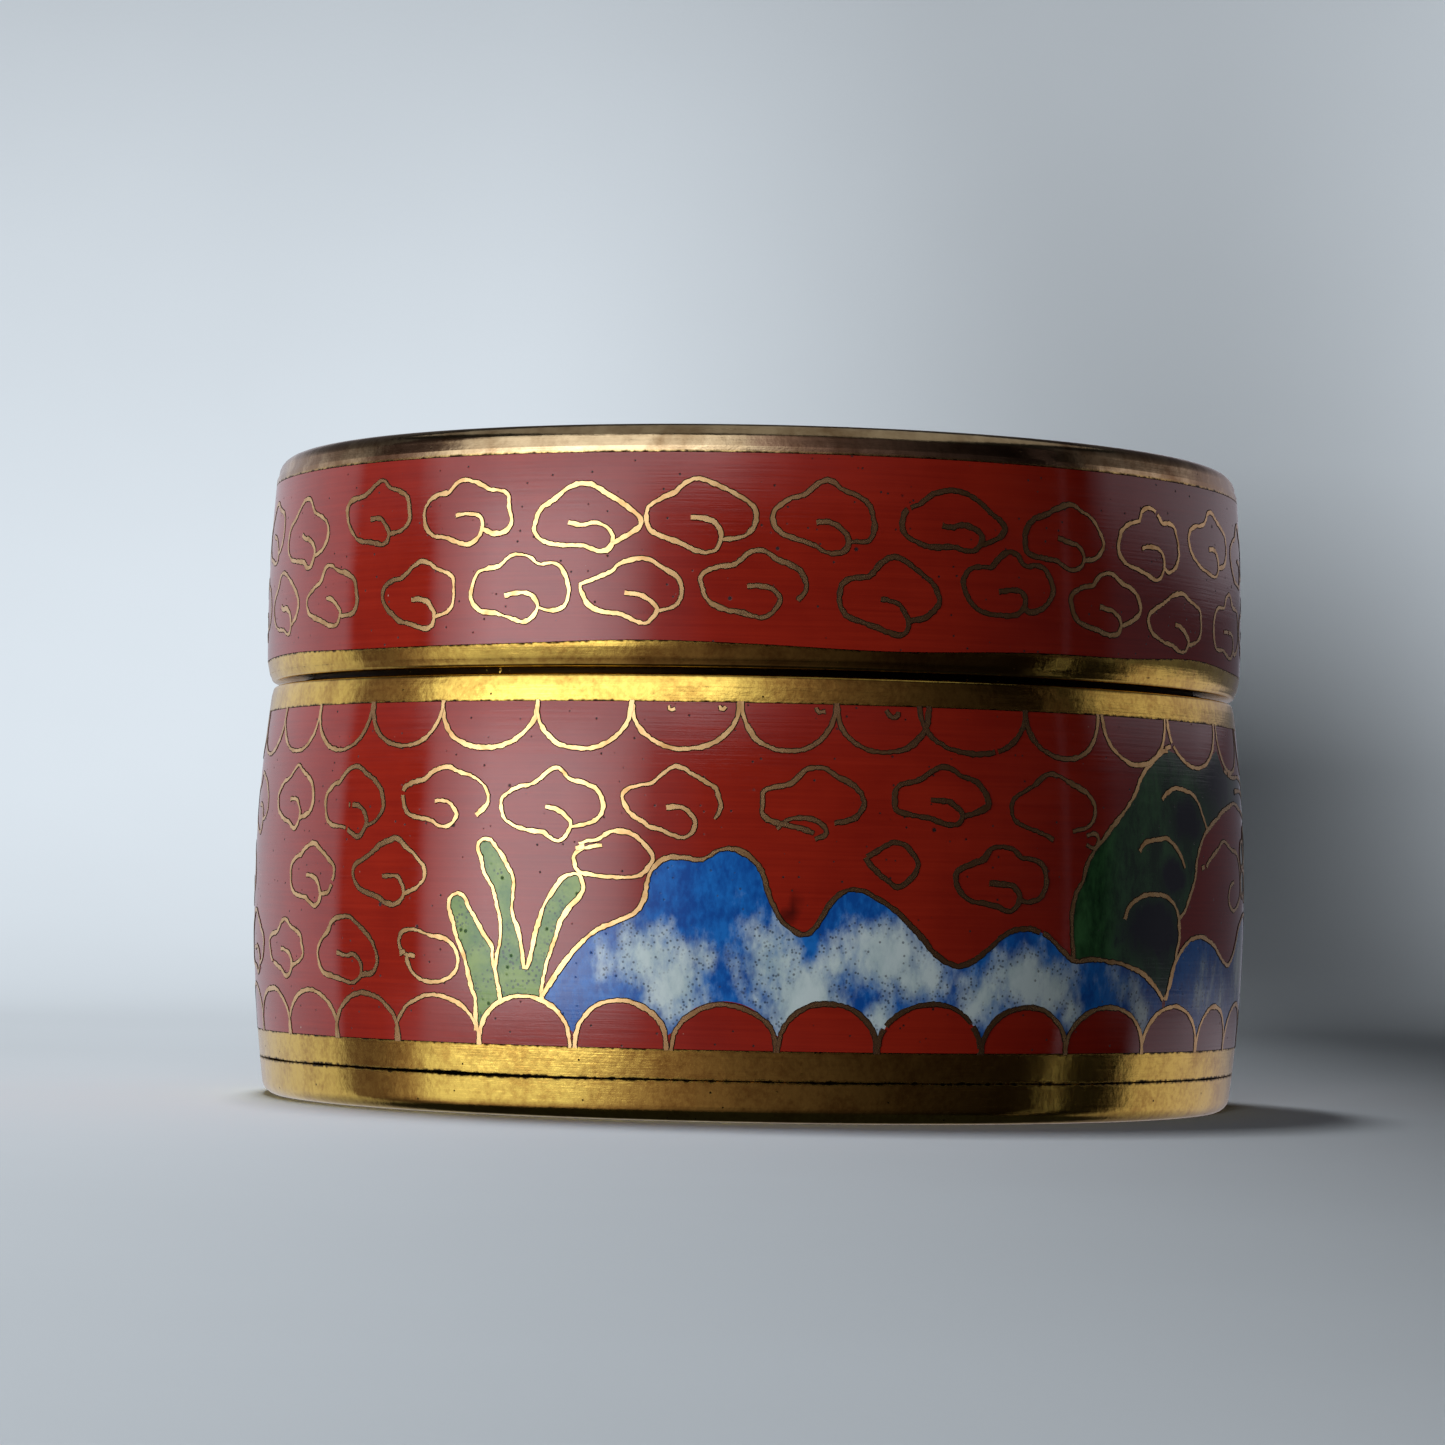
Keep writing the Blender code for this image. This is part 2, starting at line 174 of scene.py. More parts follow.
LOOSE_LINES = (
    ((-18.5, 14.5), (-17.5, 14.7), (-16.5, 14.8), (-15, 15.2), (-13, 15.1), (-11.5, 14.6), (-10.5, 13.9),
     (-11, 13.3), (-12, 12.9), (-14, 12.8), (-16.5, 12.9), (-18.5, 13.1), (-19, 13.6), (-19, 14),
     (-18, 14.3), (-16, 14.5)),
    ((12, 14.1), (13, 14.4), (15, 14.9), (16.5, 14.6), (17.5, 13.9), (17, 13.2), (15.5, 12.6), (14, 13),
     (12.5, 13.6), (11.8, 14.1)),
    ((61.5, 14.1), (63, 14.6), (65.5, 15.2), (67.5, 15.6), (70.5, 15.2), (74, 14.9), (76, 14.0),
     (76.5, 12.8), (74.5, 12.0), (71.5, 11.7), (69.5, 12.2), (70, 13.0), (72, 13.3)),
    ((-39.6, 8.4), (-40.6, 8.6), (-41, 9.2), (-40.4, 9.7), (-38.6, 9.8), (-36.4, 9.5), (-34.2, 9.3),
     (-32.9, 8.6), (-33.1, 7.7), (-34.8, 7.1), (-37, 7.0), (-38.8, 7.4), (-39.9, 8.3), (-38.7, 8.4)),
    ((2.4, 15.5), (3.6, 16.0), (5.4, 16.1), (7.0, 15.8), (7.5, 15.3), (6.4, 15.0)),
    ((38.6, 15.5), (39.8, 15.7), (40.3, 15.3), (39.6, 14.9), (38.5, 15.1)),
    ((-9.4, 21.9), (-9.2, 21.65), (-8.6, 21.7)),
    ((-3.9, 21.95), (-3.6, 21.7), (-3.2, 21.9)),
    ((6.4, 21.95), (6.6, 21.7), (7.4, 21.75)),
    ((14.0, 21.9), (14.6, 21.55), (15.3, 21.6), (15.4, 21.85)))
KNOTS = ((52.3, 20.35, 1.3), (53.2, 20.55, 1.0), (-18.4, 14.3, 0.8), (-40.5, 8.5, 0.7), (60.6, 14.0, 0.6))

# A cloud in a box from -1 to 1, from where its wire starts at the lower right to the curl inside it
LOBED = ((0.45, -0.62), (0.78, -0.5), (0.97, -0.18), (0.95, 0.16), (0.84, 0.45), (0.63, 0.64), (0.41, 0.75),
    (0.28, 0.87), (0.16, 0.96), (0.03, 0.98), (-0.13, 0.89), (-0.25, 0.75), (-0.41, 0.56), (-0.63, 0.47),
    (-0.84, 0.32), (-0.95, 0.16), (-0.95, -0.1), (-0.88, -0.39), (-0.72, -0.56), (-0.47, -0.69),
    (-0.22, -0.77), (0.0, -0.9), (0.19, -0.96), (0.34, -0.86), (0.42, -0.65), (0.42, -0.48), (0.34, -0.31),
    (0.22, -0.16), (0.03, -0.1), (-0.14, -0.09))
ROUNDED = ((0.49, -0.72), (0.8, -0.55), (0.98, -0.2), (0.93, 0.12), (0.7, 0.4), (0.42, 0.66), (0.1, 0.92),
    (-0.15, 0.96), (-0.4, 0.8), (-0.62, 0.5), (-0.88, 0.25), (-0.98, -0.05), (-0.96, -0.35), (-0.8, -0.62),
    (-0.45, -0.78), (-0.05, -0.85), (0.22, -0.98), (0.42, -0.9), (0.5, -0.62), (0.42, -0.34), (0.2, -0.16),
    (-0.02, -0.18), (-0.24, -0.1))
KNOBBED = ((0.37, -0.62), (0.6, -0.72), (0.84, -0.6), (0.97, -0.25), (0.97, 0.08), (0.88, 0.5),
    (0.68, 0.62), (0.42, 0.61), (0.3, 0.72), (0.16, 0.9), (-0.05, 0.99), (-0.26, 0.86), (-0.4, 0.6),
    (-0.62, 0.54), (-0.84, 0.44), (-0.98, 0.12), (-0.97, -0.32), (-0.78, -0.66), (-0.45, -0.8),
    (-0.2, -0.88), (0.1, -0.96), (0.3, -0.78), (0.36, -0.48), (0.26, -0.2), (0.02, -0.13), (-0.3, -0.18))
OPEN = LOBED[1:]
CLOUD_KINDS = (LOBED, ROUNDED, KNOBBED, LOBED)
LID_CLOUDS = (
    ((-63, 31.9, 2.9, 2.0, ROUNDED), (-47.5, 32.5, 2.9, 1.9, LOBED), (-33.5, 32.4, 3.1, 1.75, KNOBBED),
     (-19, 31.9, 3.0, 1.9, ROUNDED), (-6.5, 32, 3.1, 2.0, LOBED), (7, 32, 2.8, 2.0, LOBED),
     (21.5, 32.1, 3.1, 1.7, ROUNDED), (35.5, 31.6, 3.0, 1.9, LOBED), (49.5, 31.8, 2.9, 2.0, KNOBBED),
     (64, 32.2, 3.2, 1.85, LOBED)),
    ((-56, 28.1, 3.0, 1.8, LOBED), (-40, 27.9, 2.9, 1.9, LOBED), (-26.5, 28.2, 3.0, 1.85, KNOBBED),
     (-13.5, 28, 2.9, 1.75, LOBED), (-0.5, 28.4, 3.0, 1.8, OPEN), (14, 27.9, 2.8, 2.1, LOBED),
     (28, 28.8, 2.8, 1.8, KNOBBED), (41.5, 28.2, 2.9, 1.75, LOBED), (55, 27.6, 3.1, 1.75, LOBED),
     (71, 27.8, 3.2, 1.9, KNOBBED)))
BODY_CLOUDS = ((-63, 17, 2.7, 1.8, LOBED), (-49.5, 16.7, 2.9, 1.9, LOBED), (-35.5, 17, 2.9, 1.8, OPEN),
    (-22, 16.6, 2.9, 2.0, LOBED), (-8.5, 16.8, 2.7, 1.9, OPEN), (20, 17.4, 2.75, 1.65, LOBED),
    (-57.5, 12.7, 2.7, 1.8, LOBED), (-43, 12.9, 2.85, 1.8, LOBED), (27.5, 13.1, 2.8, 1.7, KNOBBED),
    (-64.5, 8.6, 2.8, 1.6, LOBED), (-50, 8.6, 2.9, 2.0, ROUNDED))
CLOUD_BEFORE_CURL = 22         # points of a lobed cloud before the curl inside it
HALF_CLOUDS = ((6, 17, 2.8, 1.8), (34, 17, 3.0, 1.85))
CLOUD_PITCH = 14.0             # degrees
BODY_CLOUD_ROWS = ((85.5, 8.9), (78.5, 12.9), (71.5, 16.9))   # first angle behind the picture, and height
LAST_CLOUD = 288.0
CLOUD_ROOM = 3.3               # least distance from a cloud's middle to a figure's outline

# Pale clouds in the blue rocks, and shade in the trunk: angle, height, half width, half height, strength
PALE_PATCHES = ((-10.8, 8.6, 2.3, 1.5, 1.0), (-7.6, 7.3, 1.5, 2.0, 1.1), (-5.2, 8.6, 1.0, 1.1, 0.8),
    (2.2, 8.4, 1.7, 1.9, 1.1), (5.6, 6.6, 2.2, 1.9, 1.2), (9.2, 8.3, 1.8, 1.4, 0.9),
    (14.2, 8.8, 2.0, 1.8, 1.2), (17.3, 7.6, 1.9, 1.8, 1.0), (14.0, 5.9, 0.9, 1.3, 1.0),
    (25.6, 6.9, 1.7, 1.5, 1.0), (30.0, 8.0, 2.3, 1.3, 1.1), (34.6, 7.4, 1.7, 1.6, 1.0),
    (37.0, 6.0, 1.0, 1.2, 0.8), (44.5, 7.4, 1.5, 1.0, 0.8), (48.0, 6.0, 1.0, 1.4, 0.7),
    (60.8, 7.7, 0.8, 2.1, 0.8), (67.0, 6.6, 1.3, 1.6, 0.8), (78.0, 8.7, 2.4, 1.7, 1.1),
    (85.0, 8.2, 2.2, 1.7, 1.0), (94.0, 7.2, 1.7, 1.2, 0.9), (161.0, 8.2, 2.2, 1.6, 1.0),
    (170.5, 7.2, 1.8, 1.4, 1.0), (179.5, 9.4, 2.2, 2.2, 1.1), (187.0, 8.6, 2.2, 1.9, 1.1),
    (197.0, 7.1, 1.8, 1.4, 1.0), (205.0, 8.6, 2.3, 1.7, 1.1), (214.0, 7.4, 1.8, 1.2, 0.9))
SHADE_PATCHES = ((57.0, 16.6, 1.8, 1.2, 1.2), (53.4, 13.4, 1.3, 0.9, 1.2), (49.5, 10.6, 2.4, 1.5, 1.3),
    (52.0, 9.0, 1.0, 1.4, 0.8), (65.5, 18.8, 2.6, 1.6, 1.1), (76.0, 18.2, 3.5, 1.2, 0.9),
    (92.0, 17.6, 4.0, 0.8, 0.8))
# Chips in the red enamel, painted dark as stains together with the shade that falls in them
STAINS_AND_CHIP_SHADE = ((4.6, 11.7, 0.6, 1.1, 0.75), (3.7, 10.9, 0.4, 0.4, 1.3), (-23.0, 7.3, 0.4, 0.4, 1.1))

# The back of the box, which the photograph doesn't show: angle, height, size, turn
BLOSSOMS = ((80.5, 14.3, 1.0, 10), (93.0, 13.6, 1.0, 40), (106.5, 16.6, 1.1, 65), (118.0, 14.0, 0.95, 20),
    (112.5, 19.6, 0.8, 55), (233.0, 16.5, 1.05, 30), (243.5, 14.2, 0.9, 5))
PETALS = 5
PETAL_DISTANCE = 1.25
PETAL_LENGTH, PETAL_WIDTH = 0.98, 0.80
BLOSSOM_EYE = 0.42
LEAVES = ((86.5, 15.6, 2.4, 160), (98.5, 15.2, 2.3, -60), (110.5, 12.6, 2.5, -100), (124.5, 16.2, 2.4, 20),
    (99.5, 20.3, 2.4, 60), (238.0, 18.7, 2.3, 50), (227.0, 14.4, 2.3, 200))
LEAF_SHAPE = ((-1.0, 0.0), (-0.6, 0.26), (-0.1, 0.42), (0.4, 0.34), (0.8, 0.14), (1.05, 0.0), (0.8, -0.16),
    (0.4, -0.33), (-0.1, -0.38), (-0.6, -0.24))
STALKS = (
    ((104, 17.3), (108, 17.8), (111, 18.4)),
    ((112, 15.4), (115, 15.0), (116.5, 14.7)),
    ((231, 8.2), (229.5, 11), (230.5, 13.2), (232, 14.8)),
    ((231, 11.5), (236, 12.6), (240, 13.4)))
BACK_TUFT_SHIFT = 208.0        # degrees, to the mirrored copy of the grass at the back

# The crown of the lid, which the photograph doesn't show either
CROWN_SCALLOPS = 32
CROWN_CLOUDS = ((19.9, 15, 3.1, 1.75), (13.9, 10, 3.1, 1.75))   # radius, count, half width, half height
CROWN_BLOSSOM = 2.4
CROWN_LEAVES, CROWN_LEAF, CROWN_LEAF_REACH = 5, 2.6, 7.4


def linear(shade):
    """A hex colour such as "8C2A1B" as linear red, green and blue."""
    parts = [int(shade[k:k + 2], 16) / 255 for k in (0, 2, 4)]
    return tuple(p / 12.92 if p <= 0.04045 else ((p + 0.055) / 1.055) ** 2.4 for p in parts)


def colour_property(name, shade, description):
    return bpy.props.FloatVectorProperty(name=name, description=description, subtype="COLOR", size=3,
                                         min=0.0, max=1.0, default=linear(shade))


def length_property(name, description, default, low, high):
    """A length, given in millimetres."""
    return bpy.props.FloatProperty(name=name, description=description, unit="LENGTH", default=default * MM,
                                   min=low * MM, max=high * MM)


class EnamelBoxSizes(bpy.types.PropertyGroup):
    """Sizes that a user would change."""
    wire_width: length_property("Wire Width", "Bright width of a cloison wire", 0.24, 0.1, 0.6)
    wire_edge: length_property("Wire Edge", "Width of the dark line on each side of a wire", 0.062, 0.01, 0.2)
    wire_rise: length_property("Wire Rise", "How far a wire stands over the enamel", 0.03, 0.01, 0.1)
    border_wave: length_property("Border Wave", "How far the lid enamel's lower border wanders", 0.2, 0, 0.5)


class EnamelBoxColours(bpy.types.PropertyGroup):
    """Colours that a user would change."""
    red: colour_property("Red", "AC2915", "Red glass enamel of the field")
    red_deep: colour_property("Deep Red", "971F10", "Where the red enamel lies thicker")
    blue: colour_property("Blue", "1E7CDC", "Blue glass enamel of the rocks")
    blue_deep: colour_property("Deep Blue", "0F58B4", "Where the blue enamel lies thicker")
    pale: colour_property("Pale Blue", "E6F9FC", "White enamel let into the blue")
    grass: colour_property("Grass Green", "8AA848", "Light green glass enamel of blades and leaves")
    trunk: colour_property("Trunk Green", "407842", "Dark green glass enamel of the trunk")
    gilt: colour_property("Gilding", "E7C35E", "Gilded brass where it is clean")
    brass: colour_property("Worn Brass", "BF9646", "Brass where the gilding has worn")


class EnamelBoxStage(bpy.types.PropertyGroup):
    """The studio round the box."""
    camera_distance: length_property("Camera Distance", "From the camera to the box's axis", 263.3, 100, 1000)
    focal_length: bpy.props.FloatProperty(
        name="Focal Length", description="Lens of the camera, in millimetres", unit="CAMERA",
        default=111.1, min=20.0, max=300.0)
    sweep_radius: length_property("Sweep Radius", "From the axis to the paper round the box", 340, 300, 1000)
    paper: colour_property("Paper", "D3DCE4", "Floor and backdrop")


def body_radius(height):
    return BODY_RADIUS - BODY_BULGE * ((height - BODY_TOP / 2) / (BODY_TOP / 2)) ** 2


def lid_radius(height):
    return LID_RADIUS - LID_BULGE * ((height - LID_BELLY) / (LID_TOP - LID_BELLY)) ** 2


def crown_height(radius):
    return LID_TOP + DOME_RISE * (1 - (radius / CROWN_RADIUS) ** 2)


def ripple(point):
    """How far hand grinding left the surface from its true curve at a point."""
    return RIPPLE * noise.noise(point / RIPPLE_LENGTH)


def outward_at(angle):
    return Vector((math.sin(angle), -math.cos(angle), 0.0))


def degrees_from(angle, place):
    """How far an angle lies from a place in degrees, the short way round."""
    return (math.degrees(angle) + 180) % 360 - 180 - place


def on_side(radius_at, point, lift):
    outward = outward_at(point.x / BODY_RADIUS)
    true = outward * radius_at(point.y) + Vector((0, 0, point.y))
    return (true + outward * (lift + ripple(true))) * MM


def on_body(point, lift):
    """A point of the body's drawing in space, in metres, lifted from the surface by some millimetres."""
    return on_side(body_radius, point, lift)


def on_lid(point, lift):
    """The same for the lid's side."""
    return on_side(lid_radius, point, lift)


def on_crown(point, lift):
    """The same for the lid's crown."""
    true = Vector((point.x, point.y, crown_height(point.length)))
    return (true + Vector((0, 0, lift + ripple(true)))) * MM


def normal_at(lay, point):
    reach = 0.15
    across = lay(point + Vector((reach, 0)), 0) - lay(point - Vector((reach, 0)), 0)
    upward = lay(point + Vector((0, reach)), 0) - lay(point - Vector((0, reach)), 0)
    return across.cross(upward).normalized()


def side_spot(angle, height):
    """A place in the drawing of a side."""
    return Vector((math.radians(angle) * BODY_RADIUS, height))


def crown_spot(angle, radius):
    """A place in the drawing of the crown."""
    return outward_at(math.radians(angle)).to_2d() * radius


def chance(*key):
    """A number from 0 to 1 that is always the same for the same numbers."""
    return noise.cell(Vector((key + (0.5, 0.5, 0.5))[:3]) * 7.31)


def wander(value, seed):
    """A smooth random number, about -0.5 to 0.5, that changes over a distance of one."""
    return noise.noise(Vector((value, seed * 3.7, seed)))


def curve_through(points, step, closed=False):
    """Evenly spaced points on a smooth curve through the given ones."""
    points = [Vector(p) for p in points]
    padded = points[-1:] + points + points[:2] if closed else points[:1] + points + points[-1:]
    fine = []
    for a, b, c, d in zip(padded, padded[1:], padded[2:], padded[3:]):
        count = max(2, math.ceil(2 * (c - b).length / step))
        for k in range(count):
            t = k / count
            fine.append(0.5 * (2 * b + (c - a) * t + (2 * a - 5 * b + 4 * c - d) * t ** 2
                               + (3 * b - a - 3 * c + d) * t ** 3))
    fine.append(padded[-2])
    lengths = [(second - first).length for first, second in zip(fine, fine[1:])]
    count = max(2, round(sum(lengths) / step))
    spacing = sum(lengths) / count
    even, gone = [fine[0]], 0.0
    for first, second, length in zip(fine, fine[1:], lengths):
        while length and gone + length >= spacing * len(even) and len(even) < count:
            even.append(first.lerp(second, (spacing * len(even) - gone) / length))
        gone += length
    return even if closed else even + [fine[-1]]


def drawn(place, pairs):
    return [place(*pair) for pair in pairs]


def joints_round(front):
    """The joints of a row of scallops all the way round, from the ones at the front."""
    rest = 360 - (front[-1] - front[0])
    count = round(rest / SCALLOP_PITCH)
    return list(front) + [front[-1] + rest * k / count for k in range(1, count + 1)]


def scallop(place, start, end, base, depth, gap):
    """One arc of a row, from joint to joint, each end drawn in by half a gap in degrees."""
    start, end = start + gap / 2, end - gap / 2
    middle, half = (start + end) / 2, (end - start) / 2
    turns = [math.pi * k / 12 for k in range(13)]
    return [place(middle - half * math.cos(t), base + depth * math.sin(t) ** 0.9) for t in turns]


def scallop_row(place, joints, base, depth, largest_gap):
    row = []
    for start, end in zip(joints, joints[1:]):
        gap = largest_gap * chance(start, base)
        bent = depth * (1 + 0.1 * wander(start, base))
        row.append(scallop(place, start, end, base, bent, gap))
    return row


def scallop_height(angle, joints):
    """Height of the foot row's outline at an angle, and never under the tips of the rocks."""
    angle = joints[0] + (angle - joints[0]) % 360
    for start, end in zip(joints, joints[1:]):
        if start <= angle <= end:
            share = 2 * (angle - start) / (end - start) - 1
            return BODY_ENAMEL[0] + max(SCALLOP_DEPTH * math.sqrt(1 - share ** 2), ROCK_TIP)
    raise ValueError("the joints don't go all the way round")


def cloud(place, angle, height, half_width, half_height, shape, reach):
    """A cloud's wire, bent by hand, so no two are the same. Reach is the radius that it lies at."""
    seed = angle * 0.37 + height
    points = []
    for u, v in shape:
        bend = Vector((u * 1.6, v * 1.6, seed))
        u += CLOUD_BEND * noise.noise(bend)
        v += CLOUD_BEND * noise.noise(bend + Vector((9, 9, 9)))
        points.append(place(angle + math.degrees(u * half_width / reach), height + v * half_height))
    return points


def turned_by(points, degrees, middle, size):
    """Points of a shape scaled, turned, and moved to a middle."""
    turn = Matrix.Rotation(math.radians(degrees), 2)
    return [middle + turn @ Vector(p) * size for p in points]


def blossom(middle, size, degrees):
    """The outlines of a blossom's petals, and of its eye."""
    petals = []
    for k in range(PETALS):
        ring = [(PETAL_DISTANCE + PETAL_LENGTH * math.cos(t), PETAL_WIDTH * math.sin(t))
                for t in [math.tau * n / 14 for n in range(14)]]
        petals.append(turned_by(ring, degrees + 360 * k / PETALS, middle, size))
    eye = [(BLOSSOM_EYE * math.cos(math.tau * n / 10), BLOSSOM_EYE * math.sin(math.tau * n / 10))
           for n in range(10)]
    return petals, turned_by(eye, 0, middle, size)


def strength(point, patches):
    """How far a place in the drawing lies inside a set of soft patches, over 0.5 for inside."""
    best = 0.0
    for angle, height, half_width, half_height, weight in patches:
        away = point - side_spot(angle, height)
        reach = math.hypot(away.x / half_width, away.y / half_height)
        best = max(best, weight * (1 - reach / 2))
    return best


def inside(point, outline):
    """Whether a point lies inside a closed outline."""
    crossings = 0
    for first, second in zip(outline, outline[1:] + outline[:1]):
        if (first.y > point.y) != (second.y > point.y):
            crossings += point.x < first.x + (point.y - first.y) * (second.x - first.x) / (second.y - first.y)
    return crossings % 2 == 1


class Drawing:
    """Everything that is drawn on the body: cells of enamel as closed outlines, and wires as lines."""

    def __init__(self):
        self.cells = {}
        self.wires = []
        self.foot_joints = joints_round(FOOT_JOINTS)
        self.top_joints = joints_round(TOP_JOINTS)
        self.draw_rows()
        self.draw_rocks("front_rocks", FRONT_RIDGE)
        self.draw_rocks("side_rocks", SIDE_RIDGE)
        self.draw_rocks("back_rocks", BACK_RIDGE)
        self.draw_trunk()
        self.draw_grass()
        self.draw_flowers()
        self.draw_clouds()

    def cell(self, name, outline):
        self.cells.setdefault(name, []).append(outline)

    def draw_rows(self):
        low, high = BODY_ENAMEL[0] - ROW_OVERLAP, BODY_ENAMEL[1] + ROW_OVERLAP
        self.wires += scallop_row(side_spot, self.top_joints, high, -SCALLOP_DEPTH, TOP_ROW_GAP)
        self.wires += scallop_row(side_spot, self.foot_joints, low, SCALLOP_DEPTH, FOOT_ROW_GAP)

    def draw_rocks(self, name, ridge):
        ridge = drawn(side_spot, ridge)
        self.wires.append(ridge)
        start, end = ridge[0].x / BODY_RADIUS, ridge[-1].x / BODY_RADIUS
        count = round((end - start) * BODY_RADIUS / OUTLINE_STEP)
        feet = [math.degrees(end + (start - end) * k / count) for k in range(count + 1)]
        self.cell(name, curve_through(ridge, OUTLINE_STEP) + self.on_foot_row(feet))

    def on_foot_row(self, angles):
        return [side_spot(a, scallop_height(a, self.foot_joints)) for a in angles]

    def draw_trunk(self):
        arc = scallop(side_spot, TRUNK_LEFT[-1][0], BRANCH_TOP[0][0], BODY_ENAMEL[1], -SCALLOP_DEPTH, 1)
        left, top = drawn(side_spot, TRUNK_LEFT), drawn(side_spot, BRANCH_TOP)
        tip, right = drawn(side_spot, BRANCH_TIP), drawn(side_spot, TRUNK_RIGHT)
        crest = [p for p in arc if p.y < TRUNK_LEFT[-1][1]]
        outline = []
        for part in (left, crest, top, tip, right):
            outline += curve_through(part, OUTLINE_STEP)
        ridge = curve_through(drawn(side_spot, FRONT_RIDGE[FRONT_RIDGE.index((37.2, 8.8)):]), OUTLINE_STEP)
        self.cell("trunk", outline + ridge[::-1])
        self.wires += [left, top[1:] + tip[1:], right]
        self.wires += [drawn(side_spot, fold) for fold in TRUNK_FOLDS]

    def draw_grass(self):
        for blade in BLADES:
            mirrored = [(BACK_TUFT_SHIFT - angle, height) for angle, height in blade]
            for name, edge in (("front_grass", blade), ("back_grass", mirrored)):
                start, end = edge[0][0], edge[-1][0]
                feet = self.on_foot_row([end + (start - end) * k / 10 for k in range(11)])
                line = drawn(side_spot, edge)
                self.cell(name, curve_through(line, OUTLINE_STEP) + feet)
                self.wires.append(feet[-1:] + line + feet[:1])

    def draw_flowers(self):
        for angle, height, size, turn in BLOSSOMS:
            petals, eye = blossom(side_spot(angle, height), size, turn)
            for petal in petals:
                self.cell("petals", curve_through(petal, OUTLINE_STEP, closed=True))
                self.wires.append(petal + petal[:1])
            self.wires.append(eye + eye[:1])
        for angle, height, size, turn in LEAVES:
            leaf = turned_by(LEAF_SHAPE, turn, side_spot(angle, height), size)
            self.cell("leaves", curve_through(leaf, OUTLINE_STEP, closed=True))
            self.wires.append(leaf + leaf[:1])
            self.wires.append([leaf[0], side_spot(angle, height), leaf[5].lerp(leaf[0], 0.15)])
        self.wires += [drawn(side_spot, stalk) for stalk in STALKS]

    def clear(self, middle):
        """Whether a cloud round this middle keeps clear of every figure."""
        figures = [outline for outlines in self.cells.values() for outline in outlines]
        far = all((point - middle).length > CLOUD_ROOM for outline in figures for point in outline)
        return far and not any(inside(middle, outline) for outline in figures)

    def draw_clouds(self):
        self.wires += [cloud(side_spot, *c, BODY_RADIUS) for c in BODY_CLOUDS]
        for half in HALF_CLOUDS:
            self.wires.append(cloud(side_spot, *half, LOBED[:CLOUD_BEFORE_CURL], BODY_RADIUS))
        for angle, height in BODY_CLOUD_ROWS:
            while angle < LAST_CLOUD:
                if self.clear(side_spot(angle, height)):
                    kind = CLOUD_KINDS[int(4 * chance(angle, height))]
                    self.wires.append(cloud(side_spot, angle, height, *BODY_CLOUD, kind, BODY_RADIUS))
                angle += CLOUD_PITCH
        self.wires += [drawn(side_spot, line) for line in LOOSE_LINES]
        for angle, height, size in KNOTS:
            ends = ((angle - 0.6 * size, height), (angle + 0.6 * size, height + 0.1))
            self.wires.append(drawn(side_spot, ends))


def lid_lines():
    """The wires of the lid's side: two rows of clouds, half a pitch apart."""
    lines = []
    for row in LID_CLOUDS:
        lines += [cloud(side_spot, *c, BODY_RADIUS) for c in row]
        first, last = row[0][0] + 360, row[-1][0]
        count = round((first - last) / CLOUD_PITCH)
        height = sum(c[1] for c in row) / len(row)
        for k in range(1, count):
            angle = last + (first - last) * k / count
            kind = CLOUD_KINDS[int(4 * chance(angle, height))]
            moved = height + 0.5 * wander(k, height)
            lines.append(cloud(side_spot, angle, moved, *LID_CLOUD, kind, BODY_RADIUS))
    return lines


def crown_drawing():
    """The crown's petals, leaves and wires: scallops at the rim, two rings of clouds, one blossom."""
    joints = [360 * k / CROWN_SCALLOPS for k in range(CROWN_SCALLOPS + 1)]
    wires = scallop_row(crown_spot, joints, CROWN_RADIUS + ROW_OVERLAP, -SCALLOP_DEPTH, CROWN_ROW_GAP)
    for radius, count, half_width, half_height in CROWN_CLOUDS:
        for k in range(count):
            angle = 360 * (k + 0.2 * wander(k, radius)) / count
            kind = CLOUD_KINDS[int(4 * chance(angle, radius))]
            wires.append(cloud(crown_spot, angle, radius, half_width, half_height, kind, radius))
    petals, eye = blossom(Vector((0, 0)), CROWN_BLOSSOM, 18)
    leaves = []
    for k in range(CROWN_LEAVES):
        turn = 360 * k / CROWN_LEAVES - 90
        middle = crown_spot(turn + 90, CROWN_LEAF_REACH)
        leaf = turned_by(LEAF_SHAPE, turn, middle, CROWN_LEAF)
        leaves.append(leaf)
        wires.append([leaf[0], middle, leaf[5].lerp(leaf[0], 0.15)])
    for shape in petals + leaves + [eye]:
        wires.append(shape + shape[:1])
    cells = {"crown_petals": [curve_through(p, OUTLINE_STEP, closed=True) for p in petals],
             "crown_leaves": [curve_through(p, OUTLINE_STEP, closed=True) for p in leaves]}
    return cells, wires


def lid_border(angle, wave):
    """Height of the lower border of the lid's enamel, which wanders, and bulges up at the right."""
    around = outward_at(angle) * 2.2
    bulge = math.exp(-degrees_from(angle, BORDER_BULGE_AT) ** 2 / 120)
    return LID_ENAMEL[0] + wave * (1.4 * noise.noise(around) + 2.4 * bulge - 0.1)


def strip_outline(low_at, high):
    """The outline of a sheet of enamel that goes all the way round. Its two ends have equal heights."""
    count = round(math.tau * BODY_RADIUS / SHEET_STEP)
    angles = [CUT + 360 * k / count for k in range(count + 1)]
    floor = [side_spot(a, low_at(math.radians(a))) for a in angles]
    floor[-1].y = floor[0].y
    rows = math.ceil((high - floor[0].y) / SHEET_STEP)
    ends = [floor[0].y + (high - floor[0].y) * k / rows for k in range(1, rows)]
    right = [Vector((floor[-1].x, y)) for y in ends]
    left = [Vector((floor[0].x, y)) for y in reversed(ends)]
    return floor + right + [side_spot(a, high) for a in reversed(angles)] + left


def turns_left(outline):
    return sum(a.x * b.y - b.x * a.y for a, b in zip(outline, outline[1:] + outline[:1])) > 0


